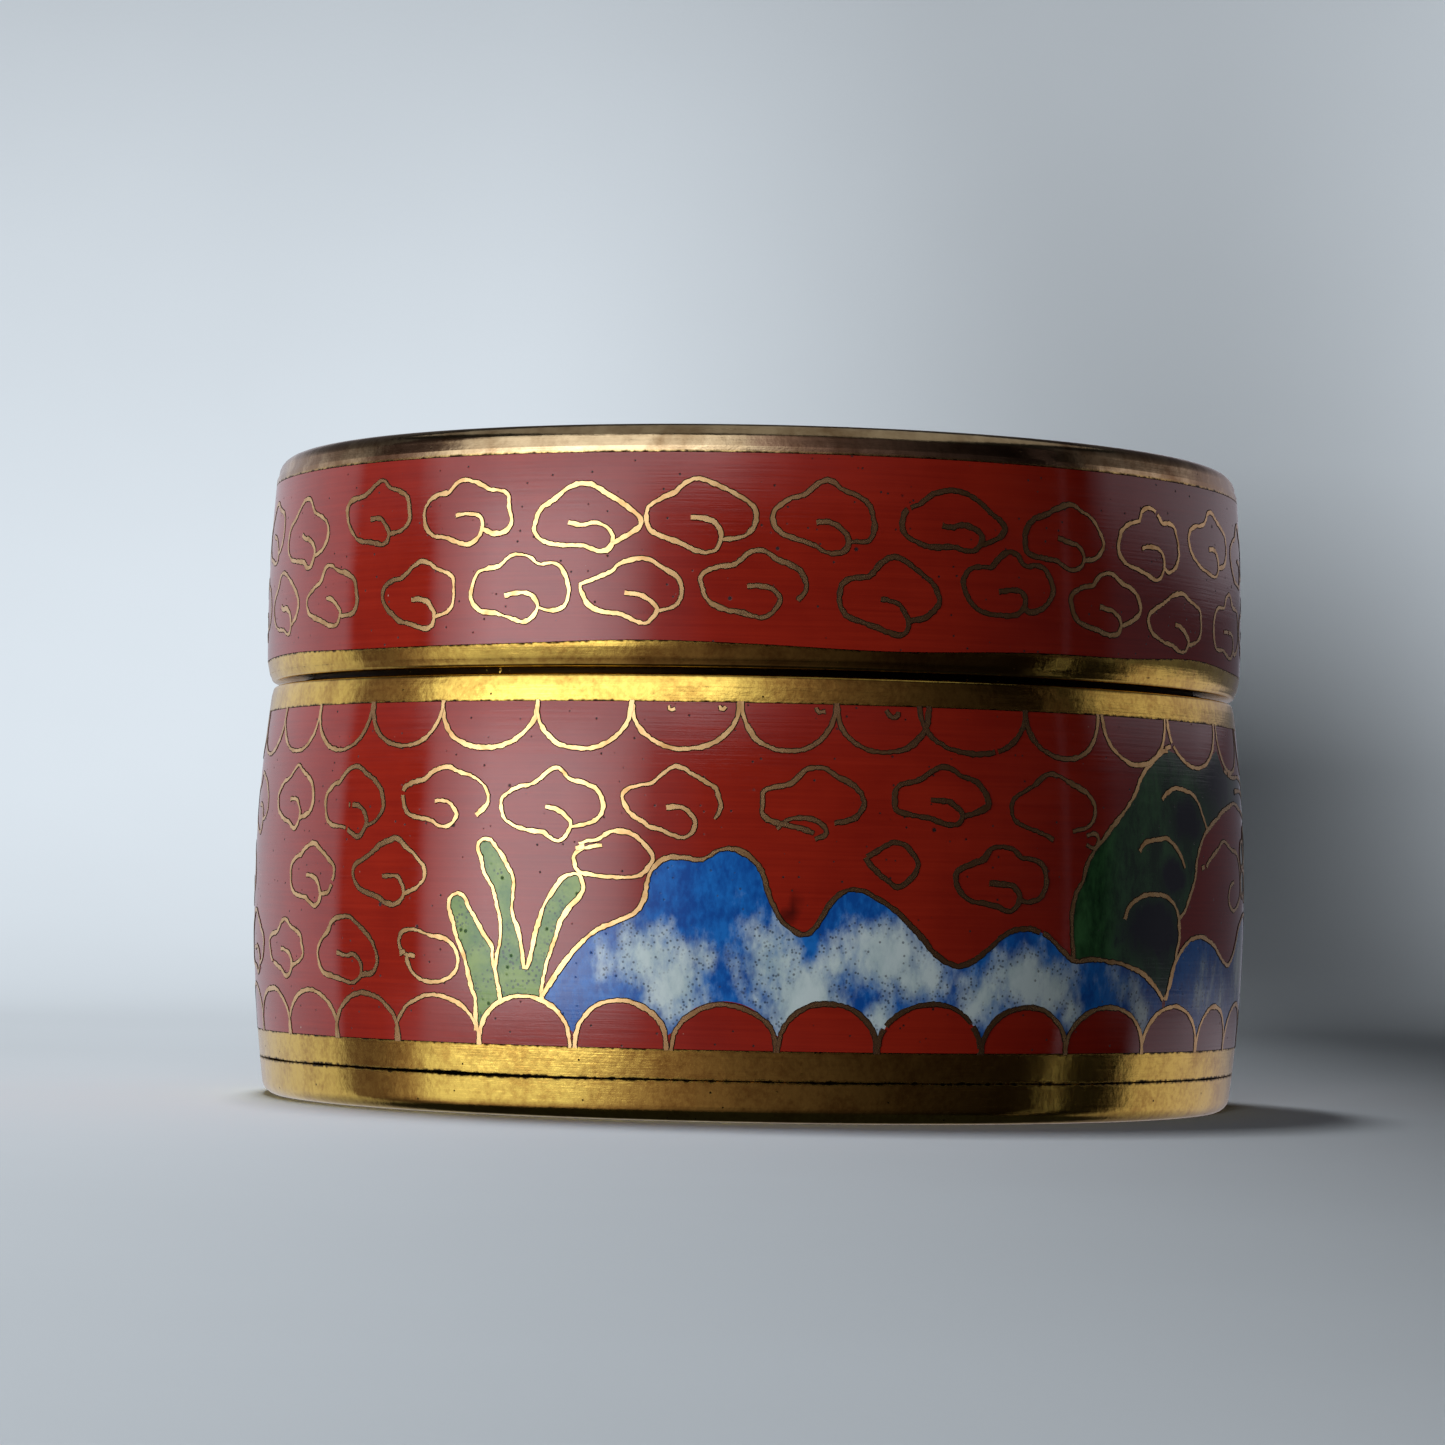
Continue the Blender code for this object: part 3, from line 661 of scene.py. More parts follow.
def cut_sheet(border, cells):
    """The border's area in triangles: its points, and for each triangle its corners and its owner.

    The owner is the last cell that holds the triangle, or none.
    """
    owners, loops, points = [None], [list(range(len(border)))], list(border)
    for name, outlines in cells.items():
        for outline in outlines:
            loop = list(range(len(points), len(points) + len(outline)))
            loops.append(loop if turns_left(outline) else loop[::-1])
            points += outline
            owners.append(name)
    tree = kdtree.KDTree(len(points))
    for k, point in enumerate(points):
        tree.insert(point.to_3d(), k)
    tree.balance()
    low = Vector((min(p.x for p in border), min(p.y for p in border)))
    high = Vector((max(p.x for p in border), max(p.y for p in border)))
    columns = round((high.x - low.x) / SHEET_STEP)
    rows = round((high.y - low.y) / SHEET_STEP)
    for i in range(1, columns):
        for j in range(1, rows):
            point = Vector((low.x + (high.x - low.x) * i / columns, low.y + (high.y - low.y) * j / rows))
            if tree.find(point.to_3d())[2] > SHEET_STEP * 0.4:
                points.append(point)
    made, _, faces, _, _, origins = delaunay_2d_cdt(points, [], loops, 1, 1e-4)
    return made, [(face, owners[max(origin)]) for face, origin in zip(faces, origins) if 0 in origin]


def linked_object(name, data):
    made = bpy.data.objects.new(name, data)
    bpy.context.scene.collection.objects.link(made)
    return made


def new_object(name, mesh, slot_name, *nodes):
    """The mesh as a piece that rides on the box and stands for some of its CAD nodes."""
    piece = linked_object(name, mesh)
    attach(piece, "root")
    if nodes:
        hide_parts(*nodes)


def enamel_mesh(name, points, faces, lay, surface, fields):
    """A closed layer of enamel from flat triangles: its face, its back and the wall between them."""
    numbers, places, kept = {}, {}, []
    for k in sorted({k for face in faces for k in face}):
        at = lay(points[k], 0)
        key = tuple(round(c, 7) for c in at)
        if key not in places:
            places[key] = len(kept)
            kept.append(k)
        numbers[k] = places[key]
    faces = [[numbers[k] for k in face] for face in faces]
    edges = {}
    for face in faces:
        for first, second in zip(face, face[1:] + face[:1]):
            edges[first, second] = True
    rim = [edge for edge in edges if edge[::-1] not in edges]
    count = len(kept)
    front = [lay(points[k], 0) for k in kept]
    back = [lay(points[k], -ENAMEL_DEPTH) for k in kept]
    normals = [normal_at(lay, points[k]) for k in kept]
    solid = [list(face) for face in faces]
    solid += [[k + count for k in reversed(face)] for face in faces]
    solid += [[second, first, first + count, second + count] for first, second in rim]
    mesh = bpy.data.meshes.new(name)
    mesh.from_pydata(front + back, [], solid)
    mesh.shade_smooth()
    mesh.update()
    loops = []
    for polygon in mesh.polygons:
        if polygon.index < len(faces):
            loops += [normals[k] for k in polygon.vertices]
        elif polygon.index < 2 * len(faces):
            loops += [-normals[k - count] for k in polygon.vertices]
        else:
            loops += [polygon.normal.copy() for _ in polygon.vertices]
    mesh.normals_split_custom_set(loops)
    for field, patches in fields.items():
        values = [strength(points[k], patches) for k in kept]
        mesh.attributes.new(field, "FLOAT", "POINT").data.foreach_set("value", values * 2)
    mesh.materials.append(surface)
    return mesh


def wire_rings(line, sizes, seed):
    """The sections of a hand-bent wire, as runs of rings. Each ring is six (place, lift) pairs."""
    half, edge = sizes.wire_width / MM / 2, sizes.wire_edge / MM
    rise = sizes.wire_rise / MM + WIRE_RISE_SPREAD * chance(seed, 3)
    path = curve_through(line, WIRE_STEP)
    runs, rings = [], []
    for k, point in enumerate(path):
        along = (path[min(k + 1, len(path) - 1)] - path[max(k - 1, 0)]).normalized()
        aside = Vector((along.y, -along.x))
        gone = k * WIRE_STEP
        sway = sum(far * wander(gone / length, seed + n) for n, (far, length) in enumerate(WIRE_SWAY))
        swell = sum(share * wander(gone / length, seed + 2 + n)
                    for n, (share, length) in enumerate(WIRE_SWELL))
        point, wide = point + aside * sway, half * (1 + swell)
        ragged = [WIRE_RAGGED * (chance(seed + side, k) - 0.5) for side in (7, 8)]
        if k and chance(seed, k) > WIRE_HOLDS:
            runs.append(rings)
            rings = []
            point = point + along * BREAK_SHIFT
        left, right = point - aside * (wide + ragged[0]), point + aside * (wide + ragged[1])
        far_left, far_right = left - aside * edge, right + aside * edge
        rings.append([(far_left, -WIRE_DEPTH), (far_left, -WIRE_EDGE_SINK), (left, rise),
                      (right, rise), (far_right, -WIRE_EDGE_SINK), (far_right, -WIRE_DEPTH)])
    return [run for run in runs + [rings] if len(run) > 1]


def wire_mesh(name, lines, lay, sizes, surfaces):
    """All the wires of one surface. Their slanting edges carry the second material."""
    points, faces, dark = [], [], []
    for number, line in enumerate(lines):
        for run in wire_rings(line, sizes, number + 0.5):
            start = len(points)
            points += [lay(*corner) for ring in run for corner in ring]
            for k in range(len(run) - 1):
                near, far = start + 6 * k, start + 6 * (k + 1)
                for side in range(6):
                    following = (side + 1) % 6
                    faces.append((near + side, near + following, far + following, far + side))
                    dark.append(side in (1, 3))
            end = len(points)
            faces.append(tuple(range(start + 5, start - 1, -1)))
            faces.append(tuple(range(end - 6, end)))
            dark += [True, True]
    mesh = bpy.data.meshes.new(name)
    mesh.from_pydata(points, [], faces)
    for surface in surfaces:
        mesh.materials.append(surface)
    mesh.polygons.foreach_set("material_index", [int(d) for d in dark])
    mesh.shade_smooth()
    mesh.set_sharp_from_angle(angle=math.radians(12))
    mesh.update()
    return mesh


def corner(centre_r, centre_z, radius, start, end, dirt_and_shade=0.0):
    """Points of a round corner in a section, by angle in degrees from +R towards +Z."""
    turns = [math.radians(start + (end - start) * k / CORNER_STEPS) for k in range(CORNER_STEPS + 1)]
    return [(centre_r + radius * math.cos(t), centre_z + radius * math.sin(t), dirt_and_shade) for t in turns]


def band(radius_at, low, high):
    """The bare metal between two heights, darker towards both of its edges."""
    near = (0.0, 0.08, 0.25)
    middle = [low + near[-1] + (high - low - 2 * near[-1]) * k / 4 for k in range(1, 4)]
    rows = [(low + away, 1 - away / near[-1]) for away in near]
    rows += [(z, 0.0) for z in middle]
    rows += [(high - away, 1 - away / near[-1]) for away in reversed(near)]
    return [(radius_at(z), z, dirt_and_shade) for z, dirt_and_shade in rows]


def seam_edge(angle, side):
    """Height of one lip of the seam between base and body, which stands open at the front left."""
    around = outward_at(angle)
    line = SEAM + SEAM_WAVE * noise.noise(around * 4)
    gape = math.exp(-degrees_from(angle, SEAM_OPEN_AT) ** 2 / 300)
    uneven = max(0.0, noise.noise(around * 9 + Vector((5, 0, 0))))
    gap = SEAM_GAP + SEAM_GAPE * gape + SEAM_UNEVEN * uneven
    return line + side * gap / 2


def base_section(angle, _):
    seam = seam_edge(angle, -1)
    bore = body_radius(SEAM) - WALL
    hollow = body_radius(0) - FOOT_LAND
    under, floor = BASE_FLOOR
    outer = body_radius(FOOT_ROUNDING) - FOOT_ROUNDING
    section = [(0, under), (hollow * 0.5, under), (hollow - CHAMFER, under)]
    section += [(hollow, under - CHAMFER, BASE_CORNER_DARKENING), (hollow, CHAMFER), (hollow + CHAMFER, 0)]
    section += corner(outer, FOOT_ROUNDING, FOOT_ROUNDING, -90, 0)
    section += band(body_radius, FOOT_ROUNDING + SMALL_CHAMFER, seam - SEAM_ROUNDING)[2:]
    section += [(body_radius(seam) - LIP, seam, 1.0), (bore, seam), (bore, floor + SMALL_CHAMFER)]
    return section + [(bore - SMALL_CHAMFER, floor), (bore * 0.5, floor), (0, floor)]


def body_section(angle, _):
    seam = seam_edge(angle, 1)
    low, high = BODY_ENAMEL
    section = [(body_radius(seam) - LIP, seam, 1.0)]
    section += band(body_radius, seam + SEAM_ROUNDING, low)
    section += [(body_radius(low) - SKIN, low + LIP), (body_radius(high) - SKIN, high - LIP)]
    section += band(body_radius, high, BODY_TOP - EDGE_ROUNDING)[:-2]
    section += corner(body_radius(BODY_TOP) - EDGE_ROUNDING, BODY_TOP - EDGE_ROUNDING, EDGE_ROUNDING, 0, 90)
    inner = [BODY_TOP - (BODY_TOP - seam) * k / WALL_STEPS for k in range(WALL_STEPS + 1)]
    return section + [(body_radius(z) - WALL, z) for z in inner]


def collar_section(_, __):
    low, high = COLLAR_SPAN
    bore = COLLAR_RADIUS - COLLAR_WALL
    # The collar stands in the gap under the lid, so its outside is painted dark with shade as well as dirt.
    return [(bore, low), (COLLAR_RADIUS, low, COLLAR_DIRT_AND_SHADE),
            (COLLAR_RADIUS, high - COLLAR_CHAMFER, COLLAR_DIRT_AND_SHADE), (COLLAR_RADIUS - COLLAR_CHAMFER, high),
            (bore + SMALL_CHAMFER, high), (bore, high - SMALL_CHAMFER)]


def lid_border_radius(height):
    """Radius of the lid's bare lower border, which leans in towards its foot."""
    share = min(1.0, max(0.0, (LID_ENAMEL[0] - height) / (LID_ENAMEL[0] - LID_FOOT)))
    return lid_radius(height) - LID_LEAN * share ** LEAN_CURVE


def lid_section(angle, wave):
    border, high = lid_border(angle, wave), LID_ENAMEL[1]
    foot_corner = lid_border_radius(LID_FOOT) - EDGE_ROUNDING
    section = corner(foot_corner, LID_FOOT + EDGE_ROUNDING, EDGE_ROUNDING, -90, 0)
    section += band(lid_border_radius, LID_FOOT + EDGE_ROUNDING + SMALL_CHAMFER, border)[1:]
    section += [(lid_radius(border) - SKIN, border + LIP), (lid_radius(high) - SKIN, high - LIP)]
    section += band(lid_radius, high, LID_TOP - CROWN_ROUNDING)[:-2]
    top_corner = lid_radius(LID_TOP) - CROWN_ROUNDING
    section += corner(top_corner, LID_TOP - CROWN_ROUNDING, CROWN_ROUNDING, 0, 90)
    section += [(CROWN_RADIUS + CROWN_EDGE, LID_TOP), (CROWN_RADIUS, LID_TOP, 1.0)]
    recess = (CROWN_RADIUS - LIP, CROWN_RADIUS * 0.5, 0)
    section += [(radius, LID_TOP - SKIN + rise) for radius, rise in zip(recess, CROWN_RECESS)]
    bore, ceiling = lid_radius(LID_TOP) - WALL, LID_TOP - WALL
    shares = [k / WALL_STEPS for k in range(WALL_STEPS + 1)]
    section += [(bore * share, ceiling + DOME_RISE * (1 - share ** 2)) for share in shares[:-1]]
    section += [(bore - CHAMFER, ceiling), (lid_radius(ceiling) - WALL, ceiling - CHAMFER)]
    inner = [ceiling + (LID_FOOT - ceiling) * share for share in shares[1:]]
    return section + [(lid_radius(z) - WALL, z) for z in inner]


def turned_metal(name, section_at, wave, surface):
    """A solid turned about Z. Its section may change a little with the angle, as hand work does."""
    mesh = bmesh.new()
    # A section point's third number, if it has one, darkens the metal there: at corners and seams, and with
    # painted shade in the gap under the lid.
    layer = mesh.verts.layers.float.new("dirt_and_shade")
    rings = []
    for step in range(ROUND_STEPS):
        angle = math.tau * step / ROUND_STEPS
        outward = outward_at(angle)
        ring = []
        section = section_at(angle, wave)
        for radius, height, *dirt_and_shade in section:
            true = outward * radius + Vector((0, 0, height))
            vert = mesh.verts.new((true + outward * ripple(true) * min(1, radius / 20)) * MM)
            vert[layer] = dirt_and_shade[0] if dirt_and_shade else 0.0
            ring.append(vert)
        rings.append((ring, [radius for radius, *_ in section]))
    for (ring, radii), (following, _) in zip(rings, rings[1:] + rings[:1]):
        for k, vert in enumerate(ring):
            after = (k + 1) % len(ring)
            if radii[k] > 0 or radii[after] > 0:
                mesh.faces.new((vert, following[k], following[after], ring[after]))
    bmesh.ops.remove_doubles(mesh, verts=mesh.verts, dist=1e-7)
    bmesh.ops.recalc_face_normals(mesh, faces=mesh.faces)
    data = bpy.data.meshes.new(name)
    mesh.to_mesh(data)
    mesh.free()
    data.materials.append(surface)
    data.shade_smooth()
    data.set_sharp_from_angle(angle=math.radians(32))
    return data


# Sockets of a colour Mix node
FACTOR, FIRST, SECOND, BLEND = 0, 6, 7, 2


def add(tree, kind, links=(), **settings):
    """Adds a node. Settings are its own values, and links its sockets' values or what feeds them."""
    made = tree.nodes.new(kind)
    for name, value in settings.items():
        setattr(made, name, value)
    for socket, value in dict(links).items():
        if isinstance(value, bpy.types.NodeSocket):
            tree.links.new(value, made.inputs[socket])
        else:
            made.inputs[socket].default_value = value
    return made


def start_material(name, roughness, **sockets):
    """A material with a Principled BSDF, and the object's coordinates in metres to lay patterns on."""
    made = bpy.data.materials.new(name)
    made.use_nodes = True
    tree = made.node_tree
    shader = tree.nodes["Principled BSDF"]
    shader.inputs["Roughness"].default_value = roughness
    for socket, value in sockets.items():
        shader.inputs[socket.replace("_", " ")].default_value = value
    place = add(tree, "ShaderNodeTexCoord").outputs["Object"]
    return made, tree, shader, place


def feed(tree, shader, **sockets):
    for socket, value in sockets.items():
        tree.links.new(value, shader.inputs[socket.replace("_", " ")])


def maths(tree, operation, *values):
    return add(tree, "ShaderNodeMath", dict(enumerate(values)), operation=operation).outputs[0]


def ramp(tree, value, low, high, to_low=0.0, to_high=1.0, **settings):
    """A value carried from one range to another and kept inside it."""
    links = {"Value": value, "From Min": low, "From Max": high, "To Min": to_low, "To Max": to_high}
    return add(tree, "ShaderNodeMapRange", links, **settings).outputs["Result"]


def paint(colour):
    """What a colour socket takes, from a hex colour, a linear one or another socket."""
    if isinstance(colour, bpy.types.NodeSocket):
        return colour
    return (*(linear(colour) if isinstance(colour, str) else colour), 1.0)


def mix(tree, share, first, second):
    """A blend of two colours, which is all the second one at a share of 1."""
    return add(tree, "ShaderNodeMix", {FACTOR: share, FIRST: paint(first), SECOND: paint(second)},
               data_type="RGBA").outputs[BLEND]


def attribute(tree, name):
    return add(tree, "ShaderNodeAttribute", attribute_name=name).outputs["Fac"]


def per_mm(size):
    """The scale of a pattern whose features are this many millimetres apart."""
    return 1 / (size * MM)


def mottle(tree, place, size, detail, roughness=0.5):
    """Soft blotches about a size in millimetres apart, from 0 to 1."""
    return add(tree, "ShaderNodeTexNoise", {"Vector": place, "Scale": per_mm(size), "Detail": detail,
                                            "Roughness": roughness}).outputs["Fac"]


def pinholes(tree, place, spacing, size):
    """Round spots of up to a size in millimetres, one where it fills the spot and 0 elsewhere."""
    cells = add(tree, "ShaderNodeTexVoronoi", {"Vector": place, "Scale": per_mm(spacing)})
    return ramp(tree, cells.outputs["Distance"], size / spacing, 0.6 * size / spacing)


def drawn_out(tree, place, scale, turn=(0.0, 0.0, 0.0)):
    links = {"Vector": place, "Scale": scale, "Rotation": turn}
    return add(tree, "ShaderNodeMapping", links).outputs["Vector"]


def grinding_lines(tree, place, spacing):
    """Lines that grinding on a wheel leaves round the box, from 0 to 1."""
    return mottle(tree, drawn_out(tree, place, (0.02, 0.02, 1.0), (0.012, 0.008, 0.0)), spacing, 4.0, 0.7)


def emboss(tree, shader, height, strength, depth):
    """Bumps on a surface, of up to a depth in millimetres."""
    bump = add(tree, "ShaderNodeBump", {"Height": height, "Strength": strength, "Distance": depth * MM})
    feed(tree, shader, Normal=bump.outputs["Normal"])


def polish(tree, shader, place, holes, smooth=0.035, worn=0.15):
    """The ground and polished face that all the enamels share, duller in its lines and holes."""
    lines = grinding_lines(tree, place, 0.16)
    dulled = ramp(tree, lines, 0.42, 0.72, smooth, worn)
    feed(tree, shader, Roughness=maths(tree, "MULTIPLY_ADD", holes, 0.6, dulled))
    emboss(tree, shader, maths(tree, "SUBTRACT", lines, holes), 0.4, 0.010)


LEAD_GLASS = {"IOR": 1.54}


def red_enamel(colours):
    """Opaque red glass, fired and ground flat: deep and even, with a soft gloss, lines, pinholes and a few
    dark chips, which hold stain and painted shade.
    """
    made, tree, shader, place = start_material("fired red glass enamel", 0.16, **LEAD_GLASS)
    blotches = mottle(tree, place, 5.0, 5.0, 0.6)
    uneven = maths(tree, "MULTIPLY_ADD", grinding_lines(tree, place, 0.2), 1.1, blotches)
    ground = mix(tree, ramp(tree, uneven, 0.8, 1.3), colours.red_deep, colours.red)
    # The chips are darkened: stain, and the shade in each chip painted into the colour.
    darkened = mix(tree, ramp(tree, attribute(tree, "stain_and_shade"), 0.45, 0.8), ground, "2A0A08")
    holes = maths(tree, "MAXIMUM", pinholes(tree, place, 0.75, 0.08), pinholes(tree, place, 3.2, 0.15))
    pitted = mix(tree, holes, darkened, "1C0806")
    feed(tree, shader, Base_Color=mix(tree, pinholes(tree, place, 3.3, 0.07), pitted, "C79A8C"))
    polish(tree, shader, place, holes)
    return made


def blue_enamel(colours):
    """Blue glass with white let into it: cottony where the two grains met, with dark grains between them."""
    made, tree, shader, place = start_material("fired blue and white glass enamel", 0.16, **LEAD_GLASS)
    run = drawn_out(tree, place, (1.0, 1.0, 0.55))
    grain = mottle(tree, run, 1.5, 6.0, 0.6)
    fine = mottle(tree, run, 0.34, 3.0, 0.6)
    tone = maths(tree, "MULTIPLY_ADD", fine, 0.8, mottle(tree, place, 2.6, 3.0))
    blue = mix(tree, ramp(tree, tone, 0.76, 1.04), colours.blue_deep, colours.blue)
    cotton = mix(tree, ramp(tree, grain, 0.36, 0.62), "BDD8DE", colours.pale)
    rough = maths(tree, "MULTIPLY_ADD", fine, 0.42, maths(tree, "MULTIPLY_ADD", grain, 1.7, -1.0))
    field = maths(tree, "ADD", attribute(tree, "pale"), rough)
    white = ramp(tree, field, 0.26, 1.06, interpolation_type="SMOOTHSTEP")
    clouded = mix(tree, white, blue, cotton)
    from_border = maths(tree, "ABSOLUTE", maths(tree, "SUBTRACT", white, 0.5))
    dark = maths(tree, "MULTIPLY", ramp(tree, from_border, 0.5, 0.2), pinholes(tree, place, 0.24, 0.08))
    holes = pinholes(tree, place, 0.62, 0.085)
    spots = maths(tree, "MULTIPLY", maths(tree, "MAXIMUM", dark, holes), 0.7)
    feed(tree, shader, Base_Color=mix(tree, spots, clouded, "0E2038"))
    polish(tree, shader, place, holes)
    return made


def grass_enamel(colours):
    """Light green glass, laid thin, with dark grains that never melted into it."""
    made, tree, shader, place = start_material("fired light green glass enamel", 0.18, **LEAD_GLASS)
    cast = mottle(tree, place, 1.4, 5.0, 0.6)
    ground = mix(tree, ramp(tree, cast, 0.36, 0.62), "5B863C", colours.grass)
    gathered = ramp(tree, mottle(tree, place, 1.1, 1.0), 0.42, 0.56)
    grains = maths(tree, "MULTIPLY", pinholes(tree, place, 0.24, 0.1), gathered)
    holes = pinholes(tree, place, 0.6, 0.13)
    spots = maths(tree, "MULTIPLY", maths(tree, "MAXIMUM", grains, holes), 0.8)
    feed(tree, shader, Base_Color=mix(tree, spots, ground, "1E3A2E"))
    polish(tree, shader, place, holes, 0.10, 0.22)
    return made


def trunk_enamel(colours):
    """Green glass, mottled and deep, with soft navy shade under each fold of the bark."""
    made, tree, shader, place = start_material("fired dark green glass enamel", 0.16, **LEAD_GLASS)
    cast = mottle(tree, drawn_out(tree, place, (1.0, 1.0, 0.5)), 1.5, 5.0, 0.68)
    green = mix(tree, ramp(tree, cast, 0.4, 0.66), "113A1A", colours.trunk)
    rough = maths(tree, "MULTIPLY_ADD", cast, 1.7, -0.85)
    field = maths(tree, "ADD", attribute(tree, "shade"), rough)
    navy = ramp(tree, field, 0.34, 0.84, interpolation_type="SMOOTHSTEP")
    shaded = mix(tree, navy, green, "0B1224")
    holes = pinholes(tree, place, 1.0, 0.08)
    feed(tree, shader, Base_Color=mix(tree, holes, shaded, "0A0F0A"))
    polish(tree, shader, place, holes)
    return made


def gilt_brass(colours):
    """Thin gilding over turned brass, worn by hands: warm and bright, mottled, dull and darker in its
    corners, with painted shade in the gap under the lid and on its rim and lower border.
    """
    made, tree, shader, place = start_material("worn gilt brass", 0.25, Metallic=1.0)
    axes = add(tree, "ShaderNodeSeparateXYZ", {"Vector": place}).outputs
    height, aside = axes["Z"], maths(tree, "ABSOLUTE", axes["X"])
    wear = mottle(tree, place, 2.2, 6.0, 0.68)
    uneven = maths(tree, "MULTIPLY_ADD", mottle(tree, place, 0.3, 3.0, 0.6), 0.7, wear)
    metal = mix(tree, ramp(tree, uneven, 0.74, 1.04), colours.gilt, colours.brass)
    # Where a thumb lifts the lid the gilding is rubbed off its rim, down to pale brass, and painted shade
    # darkens the rim towards its two sides along X.
    rim = ramp(tree, height, RIM_WEAR[0] * MM, RIM_WEAR[1] * MM)
    side_shade = ramp(tree, aside, 16 * MM, 26 * MM, 0.0, 0.22)
    darkened = ramp(tree, maths(tree, "ADD", wear, side_shade), 0.4, 0.74)
    rubbed_rim_and_side_shade = mix(tree, rim, metal, mix(tree, darkened, "DCC196", "8C6A45"))
    # The lid's low border is dull with tarnish in soft patches, and painted shade darkens it most within
    # about 14 mm of the middle in X, and hardly at all beyond 19 mm.
    low_edge = ramp(tree, height, (LID_FOOT - 0.1) * MM, LID_FOOT * MM)
    high_edge = ramp(tree, height, (TARNISH_AND_SHADE_TOP + 0.4) * MM, TARNISH_AND_SHADE_TOP * MM)
    on_border = maths(tree, "MULTIPLY", low_edge, high_edge)
    border_shade = maths(tree, "MULTIPLY", on_border, ramp(tree, aside, 14.3 * MM, 19 * MM, 0.6, 0.03))
    tarnish_and_shade = maths(tree, "MULTIPLY", border_shade, ramp(tree, wear, 0.3, 0.7, 0.66, 0.92))
    dulled = mix(tree, tarnish_and_shade, rubbed_rim_and_side_shade, "4A2A12")
    # Corners, seams and the collar are darker in mottled spots: dirt, and painted shade in the gap under the
    # lid.
    dirt_and_shade_spots = maths(tree, "MULTIPLY", attribute(tree, "dirt_and_shade"), mottle(tree, place, 0.35, 3.0))
    dark = maths(tree, "MAXIMUM", ramp(tree, dirt_and_shade_spots, 0.3, 0.55), pinholes(tree, place, 1.1, 0.08))
    lines = grinding_lines(tree, place, 0.12)
    brushed = maths(tree, "MULTIPLY_ADD", lines, 0.14, 0.01)
    matt = maths(tree, "MULTIPLY_ADD", dark, 0.35, maths(tree, "MULTIPLY_ADD", wear, 0.12, brushed))
    feed(tree, shader, Base_Color=mix(tree, dark, dulled, "2B1D0C"), Roughness=matt)
    dents = mottle(tree, place, 1.3, 5.0, 0.6)
    emboss(tree, shader, maths(tree, "MULTIPLY_ADD", lines, 0.22, dents), 0.4, 0.06)
    return made


def gilt_wire(_):
    """The same gilding on the edges of the flat wires, ground with the enamel: browner and uneven."""
    made, tree, shader, place = start_material("ground gilt wire", 0.3, Metallic=1.0)
    wear = mottle(tree, place, 0.8, 4.0)
    metal = mix(tree, ramp(tree, wear, 0.45, 0.75), "DFB880", "BC905A")
    feed(tree, shader, Base_Color=metal, Roughness=ramp(tree, wear, 0.0, 1.0, 0.16, 0.38))
    return made


def wire_tarnish(_):
    """Oxide in the hairline between wire and enamel, which draws a dark line along both sides."""
    made, tree, shader, place = start_material("copper oxide", 0.7, Specular_IOR_Level=0.2)
    feed(tree, shader, Base_Color=mix(tree, mottle(tree, place, 0.5, 3.0), "0C0704", "35230F"))
    return made


def stage_paper(stage):
    """Matt white paper with a faint tooth, which shows as the slightest change of tone."""
    made, tree, shader, place = start_material("matt paper", 0.9, Specular_IOR_Level=0.2)
    shade = tuple(c * 0.93 for c in stage.paper)
    feed(tree, shader, Base_Color=mix(tree, mottle(tree, place, 45.0, 4.0), shade, stage.paper))
    emboss(tree, shader, mottle(tree, place, 0.6, 2.0), 0.15, 0.05)
    return made


def finish_of(make, settings):
    """A material, made the first time that it is asked for."""
    key = make.__name__
    if key not in FINISHES:
        FINISHES[key] = make(settings)
    return FINISHES[key]


FINISHES = {}


class ENAMELBOX_OT_metal(bpy.types.Operator):
    """Turn the gilt base, body, collar and lid"""
    bl_idname = "enamelbox.metal"
    bl_label = "Gilt Metal"

    def execute(self, context):
        wave = context.scene.enamel_box_sizes.border_wave / MM
        gilt = finish_of(gilt_brass, context.scene.enamel_box_colours)
        for name, section_at, node in (("gilt_base", base_section, "base_plate"),
                                       ("gilt_body", body_section, "body_shell"),
                                       ("gilt_collar", collar_section, "mouth_collar"),
                                       ("gilt_lid", lid_section, "lid_shell")):
            new_object(name, turned_metal(name, section_at, wave, gilt), "gilt_metal", node)
        return {"FINISHED"}


BODY_PIECES = (
    (None, "red_body_enamel", "red_enamel", red_enamel, {"stain_and_shade": STAINS_AND_CHIP_SHADE}, ("body_enamel",)),
    *((rocks, "blue_" + rocks, "blue_enamel", blue_enamel, {"pale": PALE_PATCHES}, (rocks + "_enamel",))
      for rocks in ("front_rocks", "side_rocks", "back_rocks")),
    ("trunk", "green_trunk", "green_enamel", trunk_enamel, {"shade": SHADE_PATCHES}, ("trunk_enamel",)),
    *((green, "green_" + green, "green_enamel", grass_enamel, {}, ())
      for green in ("front_grass", "back_grass", "leaves")),
    ("petals", "pale_petals", "blue_enamel", blue_enamel,
     {"pale": tuple((angle, height, 2.6, 2.6, 1.3) for angle, height, _, _ in BLOSSOMS)}, ()))
CROWN_PIECES = (
    (None, "red_crown_enamel", "red_enamel", red_enamel, {}, ("lid_crown_enamel",)),
    ("crown_leaves", "green_crown_leaves", "green_enamel", grass_enamel, {}, ()),
    ("crown_petals", "pale_crown_petals", "blue_enamel", blue_enamel, {"pale": ((0, 0, 6, 6, 1.2),)}, ()))
LID_PIECES = ((None, "red_lid_enamel", "red_enamel", red_enamel, {}, ("lid_side_enamel",)),)


